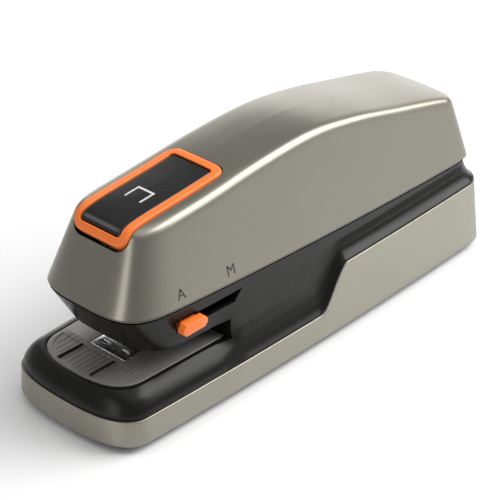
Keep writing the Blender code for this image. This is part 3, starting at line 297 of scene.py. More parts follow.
def makeGrain():  # fine moulded or sprayed grain, with the edges softly rounded
    group, given, result = newGroup(
        "fineGrain",
        {"Scale": 1800.0, "Depth": 0.1, "Edge": 0.0003},
        {"Value": "NodeSocketFloat", "Normal": "NodeSocketVector"},
    )
    nodes, links = group.nodes, group.links
    place = nodes.new("ShaderNodeTexCoord")
    noise = nodes.new("ShaderNodeTexNoise")
    noise.inputs["Detail"].default_value = 2.0
    bevel = nodes.new("ShaderNodeBevel")
    bevel.samples = 4
    bump = nodes.new("ShaderNodeBump")
    bump.inputs["Distance"].default_value = 0.0001
    links.new(place.outputs["Object"], noise.inputs["Vector"])
    links.new(given.outputs["Scale"], noise.inputs["Scale"])
    links.new(given.outputs["Edge"], bevel.inputs["Radius"])
    links.new(given.outputs["Depth"], bump.inputs["Strength"])
    links.new(noise.outputs["Fac"], bump.inputs["Height"])
    links.new(bevel.outputs["Normal"], bump.inputs["Normal"])
    links.new(noise.outputs["Fac"], result.inputs["Value"])
    links.new(bump.outputs["Normal"], result.inputs["Normal"])
    return group


def makeHandling():  # broad faint unevenness: polish, finger haze and settled dust on top faces
    group, given, result = newGroup(
        "handling", {"Scale": 40.0}, {"Haze": "NodeSocketFloat", "Dust": "NodeSocketFloat"}
    )
    nodes, links = group.nodes, group.links
    place = nodes.new("ShaderNodeTexCoord")
    haze = nodes.new("ShaderNodeTexNoise")
    haze.inputs["Detail"].default_value = 4.0
    haze.inputs["Roughness"].default_value = 0.6
    specks = nodes.new("ShaderNodeTexNoise")
    specks.inputs["Scale"].default_value = 2600.0
    specks.inputs["Detail"].default_value = 1.0
    sharp = nodes.new("ShaderNodeMapRange")
    sharp.inputs["From Min"].default_value = 0.70
    sharp.inputs["From Max"].default_value = 0.78
    facing = nodes.new("ShaderNodeNewGeometry")
    split = nodes.new("ShaderNodeSeparateXYZ")
    upward = nodes.new("ShaderNodeMapRange")
    upward.inputs["From Min"].default_value = 0.5
    upward.inputs["From Max"].default_value = 1.0
    both = nodes.new("ShaderNodeMath")
    both.operation = "MULTIPLY"
    links.new(place.outputs["Object"], haze.inputs["Vector"])
    links.new(place.outputs["Object"], specks.inputs["Vector"])
    links.new(given.outputs["Scale"], haze.inputs["Scale"])
    links.new(specks.outputs["Fac"], sharp.inputs["Value"])
    links.new(facing.outputs["Normal"], split.inputs["Vector"])
    links.new(split.outputs["Z"], upward.inputs["Value"])
    links.new(sharp.outputs["Result"], both.inputs[0])
    links.new(upward.outputs["Result"], both.inputs[1])
    links.new(haze.outputs["Fac"], result.inputs["Haze"])
    links.new(both.outputs["Value"], result.inputs["Dust"])
    return group


grainGroup, handlingGroup = makeGrain(), makeHandling()


def finish(name, dark, light, rough, metallic=0.0, grain=1800.0, depth=0.1, edge=0.0003, haze=40.0,
           dust=0.0, specular=0.5, coat=0.0, coatRough=0.1):
    material = bpy.data.materials.new(name)
    material.use_nodes = True
    nodes, links = material.node_tree.nodes, material.node_tree.links
    shader = nodes["Principled BSDF"]
    shader.inputs["Metallic"].default_value = metallic
    shader.inputs["Specular IOR Level"].default_value = specular
    shader.inputs["Coat Weight"].default_value = coat
    shader.inputs["Coat Roughness"].default_value = coatRough
    fine = nodes.new("ShaderNodeGroup")
    fine.node_tree = grainGroup
    fine.inputs["Scale"].default_value = grain
    fine.inputs["Depth"].default_value = depth
    fine.inputs["Edge"].default_value = edge
    worn = nodes.new("ShaderNodeGroup")
    worn.node_tree = handlingGroup
    worn.inputs["Scale"].default_value = haze
    shade = nodes.new("ShaderNodeMix")
    shade.data_type = "RGBA"
    shade.inputs["A"].default_value = (*dark, 1)
    shade.inputs["B"].default_value = (*light, 1)
    dusty = nodes.new("ShaderNodeMix")
    dusty.data_type = "RGBA"
    dusty.inputs["B"].default_value = (0.55, 0.53, 0.50, 1)
    amount = nodes.new("ShaderNodeMath")
    amount.operation = "MULTIPLY"
    amount.inputs[1].default_value = dust
    spread = nodes.new("ShaderNodeMapRange")
    spread.inputs["From Min"].default_value = 0.25
    spread.inputs["From Max"].default_value = 0.75
    spread.inputs["To Min"].default_value = rough[0]
    spread.inputs["To Max"].default_value = rough[1]
    links.new(fine.outputs["Value"], shade.inputs["Factor"])
    links.new(worn.outputs["Dust"], amount.inputs[0])
    links.new(amount.outputs["Value"], dusty.inputs["Factor"])
    links.new(shade.outputs["Result"], dusty.inputs["A"])
    links.new(dusty.outputs["Result"], shader.inputs["Base Color"])
    links.new(worn.outputs["Haze"], spread.inputs["Value"])
    links.new(spread.outputs["Result"], shader.inputs["Roughness"])
    links.new(fine.outputs["Normal"], shader.inputs["Normal"])
    return material


def brushed(name, dark, light, rough, along=(6, 900, 900), **more):  # metal with drawn lines along one axis
    material = finish(name, dark, light, rough, **more)
    nodes, links = material.node_tree.nodes, material.node_tree.links
    shader = nodes["Principled BSDF"]
    place = nodes.new("ShaderNodeTexCoord")
    stretch = nodes.new("ShaderNodeMapping")
    stretch.inputs["Scale"].default_value = along
    lines = nodes.new("ShaderNodeTexNoise")
    lines.inputs["Scale"].default_value = 4.0
    lines.inputs["Detail"].default_value = 3.0
    bump = nodes.new("ShaderNodeBump")
    bump.inputs["Strength"].default_value = 0.12
    bump.inputs["Distance"].default_value = 0.0001
    was = shader.inputs["Normal"].links[0].from_socket
    links.new(place.outputs["Object"], stretch.inputs["Vector"])
    links.new(stretch.outputs["Vector"], lines.inputs["Vector"])
    links.new(lines.outputs["Fac"], bump.inputs["Height"])
    links.new(was, bump.inputs["Normal"])
    links.new(bump.outputs["Normal"], shader.inputs["Normal"])
    return material


finishes = {
    "silver_paint": finish("champagnePaint", (0.250, 0.240, 0.200), (0.285, 0.273, 0.230), (0.30, 0.35),
                           metallic=0.88, grain=1500.0, depth=0.012, edge=0.0, dust=0.0, haze=22.0),
    "charcoal": finish("gunmetalPlastic", (0.0060, 0.0057, 0.0050), (0.0090, 0.0086, 0.0076), (0.24, 0.30),
                       metallic=0.10, specular=0.24, grain=1500.0, depth=0.012, edge=0.0005,
                       dust=0.0, haze=26.0),
    "black": finish("blackPlastic", (0.0050, 0.0050, 0.0050), (0.0080, 0.0078, 0.0075), (0.24, 0.32),
                    grain=3600.0, depth=0.015, edge=0.0002, dust=0.04, haze=55.0),
    "orange": finish("orangePlastic", (0.86, 0.170, 0.022), (0.92, 0.205, 0.030), (0.34, 0.42),
                     grain=3000.0, depth=0.06, edge=0.0002, dust=0.03),
    "steel": brushed("platedSteel", (0.50, 0.50, 0.50), (0.60, 0.60, 0.59), (0.20, 0.34),
                     metallic=1.0, grain=900.0, depth=0.05, haze=160.0),
    "dark_steel": finish("blackenedSteel", (0.24, 0.23, 0.22), (0.32, 0.305, 0.29), (0.36, 0.46),
                         metallic=0.55, grain=2600.0, depth=0.03, edge=0.0002, dust=0.03),
    "brass": brushed("turnedBrass", (0.60, 0.42, 0.16), (0.74, 0.54, 0.24), (0.25, 0.38),
                     along=(900, 9, 9), metallic=1.0, grain=700.0, depth=0.05),
    "nylon": finish("gearNylon", (0.70, 0.67, 0.57), (0.82, 0.79, 0.70), (0.38, 0.50),
                    grain=1500.0, depth=0.08, edge=0.0001),
    "rubber": finish("footRubber", (0.012, 0.012, 0.012), (0.030, 0.030, 0.030), (0.70, 0.88),
                     grain=1300.0, depth=0.5, edge=0.0004, dust=0.15),
    "board_green": finish("circuitBoard", (0.012, 0.095, 0.035), (0.02, 0.15, 0.055), (0.24, 0.36),
                          grain=240.0, depth=0.05),
}
print("finishes made:", len(finishes))


# silver band round the base

band = {
    "low": 0.003,
    "wall": 0.002,
    "frontTop": 0.0133,
    "rearTop": 0.0302,
    "stepStart": -0.0015,
    "stepLength": 0.016,
    "sideDraft": 0.04,
    "backDraft": 0.10,
    "noseDepth": 0.0138,
    "nosePower": 2.6,
    "corner": 0.010,
    "edge": 0.00035,
}


def atStep(y):
    return smooth((y - band["stepStart"]) / band["stepLength"])


def bandTop(y):
    return mix(band["frontTop"], band["rearTop"], atStep(y))


def baseOutline(inset, height=band["low"]):
    rise = height - band["low"]
    width = stapler["halfWidth"] - inset - rise * band["sideDraft"]
    nose = front + inset + rise * band["sideDraft"]
    tail = back - inset - rise * band["backDraft"]
    return halfOutline(even(width), nose, tail, band["noseDepth"], band["nosePower"], band["corner"])


def bandOutline(inset, share=1.0):  # share is how far up the band's stepped height
    low = baseOutline(inset, mix(band["low"], band["frontTop"], share))
    high = baseOutline(inset, mix(band["low"], band["rearTop"], share))
    return [(mix(a, c, atStep(b)), mix(b, d, atStep(b))) for (a, b), (c, d) in zip(low, high)]


def bandRing(inset, share, lift=0.0):
    return ringAt(bandOutline(inset, share), lambda y: mix(band["low"], bandTop(y), share) + lift)


def makeBand():
    r, w = band["edge"], band["wall"]
    arc = [(r * (1 - sin(pi / 2 * i / 4)), r * (1 - cos(pi / 2 * i / 4))) for i in range(5)]
    rows = [bandRing(inset, 0, lift) for inset, lift in arc]
    rows += [bandRing(0, share / 8) for share in range(1, 8)]
    rows += [bandRing(inset, 1, -lift) for inset, lift in reversed(arc)]
    rows += [bandRing(w - inset, 1, -lift) for inset, lift in arc]
    rows += [bandRing(w, share / 3) for share in (2, 1)]
    rows += [bandRing(w, 0), rows[0]]
    piece = gridForm("silver_band", rows)
    jack = (-0.014, 0.017)
    way = rod("jack_way", (jack[0], back - 0.012, jack[1]), (jack[0], back + 0.005, jack[1]), 0.0050, 64)
    cut(piece, way)
    return standFor(dress(piece, finishes["silver_paint"]), "base_trim")


def makeUnderside():
    tongue = band["wall"] + gap
    rows = [
        ringAt(baseOutline(0.0034), 0.001), ringAt(baseOutline(0.0027), 0.00102),
        ringAt(baseOutline(0.0023), 0.0012), ringAt(baseOutline(0.0012), 0.00235),
        ringAt(baseOutline(0.0009), band["low"] - gap), ringAt(baseOutline(tongue), band["low"] - gap),
        ringAt(baseOutline(tongue), band["low"] + 0.0014),
    ]
    piece = halfForm("underside_plate", rows)
    footPlaces = [(x, y) for y in (front + 0.021, back - 0.013) for x in (-0.022, 0.022)]
    for x, y in footPlaces:
        cut(piece, rod("recess", (x, y, 0), (x, y, 0.0019), 0.0063))
    screws = [(x, front + 0.0165) for x in (-0.0125, 0.0125)] + [(x, back - 0.025) for x in (-0.0235, 0.0235)]
    for x, y in screws:
        headWay = rod("head_way", (x, y, 0), (x, y, 0.0029), 0.0033)
        shankWay = rod("shank_way", (x, y, 0), (x, y, 0.01), 0.0018)
        cut(piece, headWay, shankWay)
    for i, (x, y) in enumerate(footPlaces, 1):
        bm = bmesh.new()
        disc(bm, (x, y, 0), (x, y, 0.0016), 0.006)
        rim = [edge for edge in bm.edges if len(edge.link_faces) == 2 and edge.calc_face_angle() > 1]
        bmesh.ops.bevel(bm, geom=rim, offset=0.0004, segments=3, profile=0.5, affect="EDGES", material=-1)
        foot = dress(meshObject(f"rubber_foot_{i}", bm), finishes["rubber"])
        standFor(foot, f"foot_{i}")
    return standFor(dress(piece, finishes["black"]), "bottom_plate")


# dark body shell

body = {
    "frontHeights": [0.0, 0.0018, 0.0037, 0.0058, 0.0074, 0.0091, 0.0122, 0.0172, 0.0222, 0.0282],
    "rearHeights": [0.0, 0.0006, 0.0014, 0.0024, 0.0033, 0.0042, 0.0051, 0.006, 0.0069, 0.0078],
    "deckInsets": [0.0008, 0.0011, 0.0019, 0.0033, 0.0051, 0.0078, 0.0069, 0.0062, 0.0058, 0.0057],
    "waistInsets": [0.0008, 0.0019, 0.0028, 0.0035, 0.0040, 0.0044, 0.0049, 0.0053, 0.0056, 0.0057],
    "tailInsets": [0.0015, 0.0022, 0.0030, 0.0037, 0.0042, 0.0046, 0.0049, 0.0052, 0.0055, 0.0057],
    "setbacks": [0.0012, 0.0014, 0.0021, 0.0032, 0.0042, 0.0055],
    "back": back - 0.0055,
    "flare": back - 0.0032,
    "tongue": 0.003,
    "noseDepth": 0.026,
    "nosePower": 3.8,
    "deckTop": 0.0223,
    "throatTop": 0.0305,
    "drawerHalf": 0.0096,
    "drawerTop": 0.0443,
}
cover = {
    "halfWidth": stapler["halfWidth"] - 0.0052,
    "front": front + 0.0115,
    "back": back - 0.0053,
    "rise": 0.0445,
    "fall": 0.041,
    "wall": 0.002,
    "leanFront": 0.0122,
    "leanBack": 0.0045,
    "leanSide": 0.0092,
    "bead": 0.0009,
    "beadWidth": 0.002,
    "beadEdge": 0.0002,
    "leanHeight": 0.0355,
    "corner": 0.0065,
    "nosePower": (3.8, 5.0),
    "round": 0.0042,
    "crown": 0.0014,
    "sideShares": (0.0, 0.0, 0.0, 0.3, 0.65),
    "pulls": (1.0, 2.0, 2.9),
    "noseShrink": 14,
    "cornerShrink": 45,
    "ridgeInset": 0.005,
    "noseMark": 0.006,
}


def coverLow(y):
    return cover["rise"] - cover["fall"] * y


def bodyTop(y):
    return coverLow(y) - 2 * seam - cover["bead"]


def noseFront(z):
    return front + 0.0129 + (0.045 - z) * 0.61


def bodyRing(k, inset=0.0):
    count = len(body["frontHeights"])
    w = min(k, count - 1)

    def height(y):
        if k == count:
            return bodyTop(y)
        low = band["frontTop"] + seam + body["frontHeights"][k]
        return mix(low, band["rearTop"] + seam + body["rearHeights"][k], atStep(y))

    def width(y):
        atWaist = smooth((y - throatBack + 0.010) / 0.014)
        ahead = mix(body["deckInsets"][w], body["waistInsets"][w], atWaist)
        inward = mix(ahead, body["tailInsets"][w], atStep(y))
        return stapler["halfWidth"] - inward - inset

    if k < len(body["setbacks"]):
        nose, depth, power = front + body["setbacks"][k], band["noseDepth"], band["nosePower"]
    else:
        nose, depth, power = noseFront(height(front + 0.0129)), body["noseDepth"], body["nosePower"]
    tail = mix(body["flare"], body["back"], min(k / 6, 1.0) ** 0.6)
    return ringAt(halfOutline(width, nose + inset, tail - inset, depth, power), height)


def bodyRings(inset=0.0, first=0):
    lower = [bodyRing(k, inset) for k in range(first, 6)]
    upper = [bodyRing(k, inset) for k in range(6, 11)]
    between = [[mix(a, b, t / 4) for a, b in zip(lower[-1], upper[0])] for t in (1, 2, 3)]
    return splineRings(lower, 5) + between + splineRings(upper, 4)


def deckOutline(inset):
    return halfOutline(
        even(stapler["halfWidth"] - 0.0085 - inset), front + 0.0065 + inset, back - 0.015,
        band["noseDepth"], band["nosePower"],
    )


def makeBody():
    joint = band["wall"] + gap
    foot = [
        ringAt(bandOutline(joint), lambda y: bandTop(y) - body["tongue"]),
        ringAt(bandOutline(joint), lambda y: bandTop(y) + seam),
    ]
    piece = halfForm("body_housing", foot + bodyRings())
    inner = bandOutline(joint + wall)
    rings = bodyRings(wall, 3)
    hollow = halfForm("hollow", [
        ringAt(inner, lambda y: bandTop(y) - body["tongue"] - 0.002),
        ringAt(inner, lambda y: bandTop(y) + seam), *rings, moved(rings[-1], 0.004),
    ])
    top, ceiling = body["deckTop"], body["throatTop"]
    cut(hollow, block("keep", (-0.05, front - 0.02, top - 0.0035), (0.05, throatBack + wall, ceiling + wall)))
    recess = halfForm("recess", [ringAt(deckOutline(0), top - 0.0017), ringAt(deckOutline(0), top + 0.001)])
    cut(recess, block("end", (-0.05, throatBack - gap, 0), (0.05, 0.2, 0.05)))
    side, rear = body["drawerHalf"] + gap, throatBack + 0.004
    lean, low, high = 0.002, 0.0366, 0.0410
    slotFront, slotBack = front + 0.0335, front + 0.064
    bm = bmesh.new()
    corners = boxMesh(bm, (0.020, slotFront, low), (0.035, slotBack, high))
    for vert in corners:  # the slot's rear end leans back
        if vert.co.y > slotBack - 0.001:
            vert.co.y += lean if vert.co.z > (low + high) / 2 else -lean
    slot = meshObject("slot", bm)
    x, half = 0.015, 0.0016
    cut(
        piece, hollow,
        block("throat", (-0.05, front - 0.02, top), (0.05, throatBack, ceiling)),
        recess,
        block("nose_way", (-side, front, top + 0.004), (side, rear, ceiling + wall + 0.0001)),
        block("nose_front", (-side, front, ceiling - 0.001),
              (side, staplePlane - 0.0008, body["drawerTop"] + gap)),
        slot,
        block("sensor_wall", (x - half, throatBack - 0.0025, 0.0228),
              (x + half, throatBack + 0.0035, 0.0327)),
        block("sensor_floor", (x - half, throatBack - 0.0125, 0.0295),
              (x + half, throatBack + 0.0025, 0.0329)),
    )
    return standFor(dress(piece, finishes["charcoal"]), "body_shell")


def makeDrawerNose():
    rows = []
    low, high = body["throatTop"] + gap, body["drawerTop"]
    for i in range(9):
        z = mix(low, high, i / 8)
        outline = halfOutline(even(waist), noseFront(z), body["back"], body["noseDepth"], body["nosePower"])
        rows.append(ringAt(outline, z))
    piece = halfForm("drawer_nose", rows)
    half = body["drawerHalf"]
    combine(piece, [block("bounds", (-half, front, 0.02), (half, staplePlane - 0.0015, 0.06))], "INTERSECT")
    return standFor(dress(piece, finishes["charcoal"]), "magazine_front")


# ribbed deck and anvil

deck = {
    "top": 0.0223,
    "plate": 0.0014,
    "border": 0.0019,
    "grooveWidth": 0.00026,
    "grooveDepth": 0.0005,
    "groovePitch": 0.00232,
    "fieldDrop": 0.00022,
    "ribs": [-0.0103, 0.0062],
    "ribHalf": 0.00062,
    "ribSpan": (front + 0.0092, front + 0.0212),
    "anvilHalf": 0.009,
    "anvilReach": 0.0042,
}


def deckPrism(name, inset, low, high):
    return halfForm(name, [ringAt(deckOutline(inset), low), ringAt(deckOutline(inset), high)])


def makeDeck():
    top, low = deck["top"], deck["top"] - deck["plate"]
    edge = 0.00018
    piece = halfForm("deck_plate_ribbed", [
        ringAt(deckOutline(gap), low), ringAt(deckOutline(gap), top - edge),
        ringAt(deckOutline(gap + edge * 0.3), top - edge * 0.3), ringAt(deckOutline(gap + edge), top),
    ])
    border = deck["border"]
    field = deckPrism("field", border, top - deck["fieldDrop"], top + 0.001)
    cut(field, block("field_end", (-0.05, front + 0.0212, 0), (0.05, 0.2, 0.05)))
    line = deckPrism("line", border + 0.0009, top - 0.0006, top + 0.001)
    cut(line, deckPrism("line_inside", border + 0.0012, top - 0.002, top + 0.002),
        block("line_end", (-0.05, front + 0.044, 0), (0.05, 0.2, 0.05)))
    bm = bmesh.new()
    count = 9
    for i in range(-count, count + 1):
        x = (i + 0.5) * deck["groovePitch"] - 0.0021
        half = deck["grooveWidth"] / 2
        if min(abs(x - rib) for rib in deck["ribs"]) > 0.0011:
            boxMesh(bm, (x - half, front, top - deck["grooveDepth"] - deck["fieldDrop"]),
                    (x + half, front + 0.0235, top + 0.0012))
    grooves = meshObject("grooves", bm)
    inside = deckPrism("groove_limit", border + 0.0012, top - 0.001, top + 0.0011)
    combine(grooves, [inside], "INTERSECT")
    half, reach = deck["anvilHalf"], deck["anvilReach"]
    cut(
        piece, block("deck_end", (-0.05, throatBack - 0.0006, 0), (0.05, 0.2, 0.05)),
        block("seat", (-half - gap, staplePlane - reach - gap, 0),
              (half + gap, staplePlane + reach + gap, 0.05)),
        field, line, grooves,
    )
    standFor(dress(piece, finishes["dark_steel"]), "deck_plate")
    for name, x in zip(("left", "right"), deck["ribs"]):
        bm = bmesh.new()
        near, far = deck["ribSpan"]
        boxMesh(bm, (x - deck["ribHalf"], near, top - 0.0006), (x + deck["ribHalf"], far, top + 0.00035))
        upper = [edge for edge in bm.edges if all(vert.co.z > top for vert in edge.verts)]
        bmesh.ops.bevel(bm, geom=upper, offset=0.0003, segments=3, profile=0.5, affect="EDGES", material=-1)
        rib = dress(meshObject(f"deck_rib_{name}", bm), finishes["charcoal"])
        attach(rib, "housing")


def makeAnvil():
    top, low = deck["top"], deck["top"] - deck["plate"]
    half, reach = deck["anvilHalf"], deck["anvilReach"]
    bm = bmesh.new()
    boxMesh(bm, (-half, staplePlane - reach, low), (half, staplePlane + reach, top))
    upper = [edge for edge in bm.edges if all(vert.co.z > top - 1e-5 for vert in edge.verts)]
    bmesh.ops.bevel(bm, geom=upper, offset=0.0002, segments=2, profile=0.5, affect="EDGES", material=-1)
    piece = meshObject("anvil_block", bm)
    for side in (-1, 1):  # each pocket is a scoop that curls one staple leg inwards
        bm = bmesh.new()
        scoop = bmesh.ops.create_uvsphere(bm, u_segments=40, v_segments=20, radius=1.0)["verts"]
        bmesh.ops.scale(bm, vec=(0.0021, 0.00105, 0.00085), verts=scoop)
        bmesh.ops.translate(bm, vec=(side * 0.0048, staplePlane, top + 0.00005), verts=scoop)
        cut(piece, meshObject("scoop", bm))
    return standFor(dress(piece, finishes["steel"]), "anvil_plate")


# top cover

roofLine = [
    (cover["front"], -0.0070), (front + 0.055, -0.0040), (front + 0.085, -0.0012), (0.010, -0.0003),
    (0.035, -0.0036), (0.060, -0.0092), (0.080, -0.0138), (cover["back"], -0.0190),
]


def roofAt(y):
    points = [(a, stapler["roof"] + b) for a, b in roofLine]
    y = min(max(y, points[0][0]), points[-1][0])
    slopes = []
    for i in range(len(points)):
        before, after = points[max(i - 1, 0)], points[min(i + 1, len(points) - 1)]
        slopes.append((after[1] - before[1]) / (after[0] - before[0]))
    i = max(k for k in range(len(points) - 1) if y >= points[k][0])
    (y0, z0), (y1, z1) = points[i], points[i + 1]
    t = (y - y0) / (y1 - y0)
    rise = z0 * (2 * t**3 - 3 * t**2 + 1) + z1 * (3 * t**2 - 2 * t**3)
    return rise + (y1 - y0) * (slopes[i] * (t**3 - 2 * t**2 + t) + slopes[i + 1] * (t**3 - t**2))


def sideHeight(y):  # from the seam to where the side and the roof would meet
    return roofAt(y) - cover["crown"] - coverLow(y)


def coverWidth(rise, inward=0.0):  # the sides lean in at one angle, so the low tail stays wide
    return cover["halfWidth"] - cover["leanSide"] * rise / cover["leanHeight"] - inward


def coverRing(grow, share=1.0, drop=0.0, pull=0.0):  # part way up the side, or a drop or pull from its corner
    c = cover
    rise = lambda y: share * (sideHeight(y) - 2 * c["round"]) if share < 1 else sideHeight(y) - drop
    atNose, atTail = (rise(y) / sideHeight(y) for y in (c["front"] + c["noseMark"], c["back"]))
    nose = c["front"] + c["leanFront"] * atNose + pull - grow
    tail = c["back"] - c["leanBack"] * atTail - pull + grow
    depth = body["noseDepth"] * (1 - c["noseShrink"] * pull)
    corner = c["corner"] * (1 - c["cornerShrink"] * pull)
    power = c["nosePower"][0] + (c["nosePower"][1] - c["nosePower"][0]) * min(1.0, atNose)
    outline = halfOutline(lambda y: coverWidth(rise(y), pull - grow), nose, tail, depth, power, corner)
    crown = c["crown"] * (1 - (1 - pull / coverWidth(sideHeight(0))) ** 2)
    return ringAt(outline, lambda y: coverLow(y) + rise(y) + crown + grow * rise(y) / sideHeight(y))


def coverRings(grow=0.0):
    r = cover["round"]
    rings = [coverRing(grow, share=share) for share in cover["sideShares"]]
    rings += [coverRing(grow, drop=drop) for drop in (2 * r, r, 0.0)]
    rings += [coverRing(grow, pull=pull * r) for pull in cover["pulls"]]
    low, high = rings[-1][0].y + cover["ridgeInset"], rings[-1][-1].y - cover["ridgeInset"]
    middle = [min(max(p.y, low), high) for p in rings[-1]]
    middle = [Vector((0, y, roofAt(y) + grow)) for y in middle]
    dense = splineRings(rings + [middle, middle, middle], 6, through=False)
    return dense[6:7] + dense[9:-10] + [middle]  # without the rings that crowd at both ends


button = {
    "tilt": radians(40),
    "half": 0.013,
    "front": Vector((0, front + 0.0207, stapler["roof"] - 0.0127)),
    "rear": Vector((0, front + 0.072, stapler["roof"] - 0.0016)),
    "corner": 0.0046,
    "bar": 0.003,
    "ringProud": 0.0013,
    "capProud": 0.0006,
    "depth": 0.0028,
    "hinge": Vector((0, front + 0.067, stapler["roof"] - 0.0084)),
    "sideSteps": 76,
    "endSteps": 36,
    "cornerSteps": 8,
}


def tilted(point):
    return point.y * cos(button["tilt"]) + point.z * sin(button["tilt"])


buttonLow, buttonHigh = tilted(button["front"]), tilted(button["rear"])
buttonUp = Vector((0, -sin(button["tilt"]), cos(button["tilt"])))
buttonAlong = Vector((0, cos(button["tilt"]), sin(button["tilt"])))


def buttonOutline(inset, frontExtra=0.0):  # rounded rectangle, the same count of points at any inset
    b = button
    half = max(b["half"] - inset, 0.0)
    low, high = buttonLow + inset - frontExtra, buttonHigh - inset
    r = min(max(b["corner"] - inset, 0.0006), max(half, 1e-5))
    corners = [(half - r, low + r, -90), (half - r, high - r, 0),
               (r - half, high - r, 90), (r - half, low + r, 180)]
    points = []
    for k, (cx, cy, start) in enumerate(corners):
        arc = [radians(start + 90 * i / b["cornerSteps"]) for i in range(b["cornerSteps"] + 1)]
        points += [Vector((cx + r * cos(t), cy + r * sin(t))) for t in arc]
        nx, ny, nextStart = corners[(k + 1) % 4]
        a = points[-1]
        c = Vector((nx + r * cos(radians(nextStart)), ny + r * sin(radians(nextStart))))
        steps = b["sideSteps"] if k % 2 == 0 else b["endSteps"]
        points += [a.lerp(c, i / steps) for i in range(1, steps)]
    return points + [points[0]]


def coverCutout(name, inset, frontExtra):
    outline = buttonOutline(inset, frontExtra)[:-1]
    bm = bmesh.new()
    verts = [bm.verts.new(Vector((p.x, 0, 0)) + buttonAlong * p.y + buttonUp * 0.075) for p in outline]
    bm.faces.new(verts)
    pulled = bmesh.ops.extrude_face_region(bm, geom=bm.faces[:])["geom"]
    upper = [item for item in pulled if isinstance(item, bmesh.types.BMVert)]
    bmesh.ops.translate(bm, vec=buttonUp * 0.05, verts=upper)
    bmesh.ops.recalc_face_normals(bm, faces=bm.faces)
    return meshObject(name, bm)


def makeCover():
    outer = halfForm("top_housing", coverRings(), 40)
    bm = bmesh.new()
    bm.from_mesh(outer.data)
    tree = BVHTree.FromBMesh(bm)
    bm.free()
    inner = coverRings(-cover["wall"])
    hollow = halfForm("hollow", [moved(inner[0], -0.003), *inner])
    cut(outer, hollow, coverCutout("opening", -seam, 0.0010))
    standFor(dress(outer, finishes["silver_paint"]), "top_cover")
    return tree


def overCover(tree, x, v, height):  # a point above the cover's own form, measured across the tilted plane
    start = Vector((x, 0, 0)) + buttonAlong * v + buttonUp * 0.2
    hit = tree.ray_cast(start, -buttonUp)[0]
    return hit + buttonUp * height


def tiltedForm(name, tree, profile):  # profile: inset and height, from the outside inwards
    rows = []
    for inset, height in profile:
        rows.append([overCover(tree, p.x, p.y, height) for p in buttonOutline(inset)])
    return gridForm(name, rows, closeAcross=True, smoothAngle=50)


def makeButton(tree):
    b = button
    r = 0.00055
    quarter = [(1 - cos(pi / 2 * i / 5), 1 - sin(pi / 2 * i / 5)) for i in range(6)]
    ring = [(0, -b["depth"]), (0, -0.0006)]
    ring += [(r * a, b["ringProud"] - r * c) for a, c in quarter]
    ring += [(b["bar"] - r * a, b["ringProud"] - r * c) for a, c in reversed(quarter)]
    ring += [(b["bar"], -0.0006), (b["bar"], -b["depth"]), (0, -b["depth"])]
    frameRing = tiltedForm("button_frame", tree, ring)
    standFor(dress(frameRing, finishes["orange"]), "button_ring")
    start = b["bar"] + gap
    r = 0.0007
    cap = [(b["half"] - 0.0008, -b["depth"]), (start + 0.002, -b["depth"])]
    cap += [(start, -b["depth"]), (start, -0.0008)]
    cap += [(start + r * a, b["capProud"] - r * c) for a, c in quarter]
    inset = start + r
    while inset < b["half"] - 0.0006:
        inset += 0.0006
        cap.append((min(inset, b["half"] - 0.00001), b["capProud"]))
    top = tiltedForm("manual_button", tree, cap)
    hinge = b["hinge"]
    plunge = hinge.y - 0.031
    bm = bmesh.new()
    bm.from_mesh(top.data)
    bmesh.ops.holes_fill(bm, edges=[edge for edge in bm.edges if edge.is_boundary], sides=0)
    for side in (-1, 1):
        near, far = sorted((side * 0.0055, side * 0.0075))
        boxMesh(bm, (near, hinge.y - 0.0022, hinge.z - 0.0022),
                (far, hinge.y + 0.0014, roofAt(hinge.y) - 0.002))
    boxMesh(bm, (-0.0015, plunge, 0.0688), (0.0015, plunge + 0.003, roofAt(plunge) - 0.0012))
    bm.to_mesh(top.data)
    bm.free()
    top.data.shade_smooth()
    top.data.set_sharp_from_angle(angle=radians(50))
    standFor(dress(top, finishes["black"]), "button_cap")


def makeBead():  # thin rim between cover and body
    c = cover
    rows = []
    base = lambda y: bodyTop(y) + seam
    h = c["bead"]
    w, e = c["beadWidth"], c["beadEdge"]
    section = [(0.0, e), (0.0, h - e), (e, h), (w - e, h), (w, h - e),
               (w, e), (w - e, 0.0), (e, 0.0), (0.0, e)]
    for inset, lift in section:
        outline = halfOutline(even(c["halfWidth"] - 0.0005 - inset), c["front"] + 0.0006 + inset,
                              c["back"] - 0.0005 - inset, body["noseDepth"], body["nosePower"])
        rows.append(ringAt(outline, lambda y, lift=lift: base(y) + lift))
    piece = gridForm("seam_bead", rows)
    return standFor(dress(piece, finishes["beadPaint"]), "cover_gasket")


finishes["beadPaint"] = finish("seamBeadPaint", (0.10, 0.096, 0.088), (0.135, 0.13, 0.12), (0.28, 0.36),
                               metallic=0.7, grain=5200.0, depth=0.05, edge=0.0002)


# generic marks: the two slider places and a staple sign on the button

def sideX(y, z):  # the cover's side at a place, on its straight part
    c = cover
    rise = z - coverLow(y)
    width, s = coverWidth(rise), rise / sideHeight(y)
    nose, tail = c["front"] + c["leanFront"] * s, c["back"] - c["leanBack"] * s
    along = (y - (nose + tail) / 2) / ((tail - nose) / 2)
    return width - stapler["sideBow"] * along**2


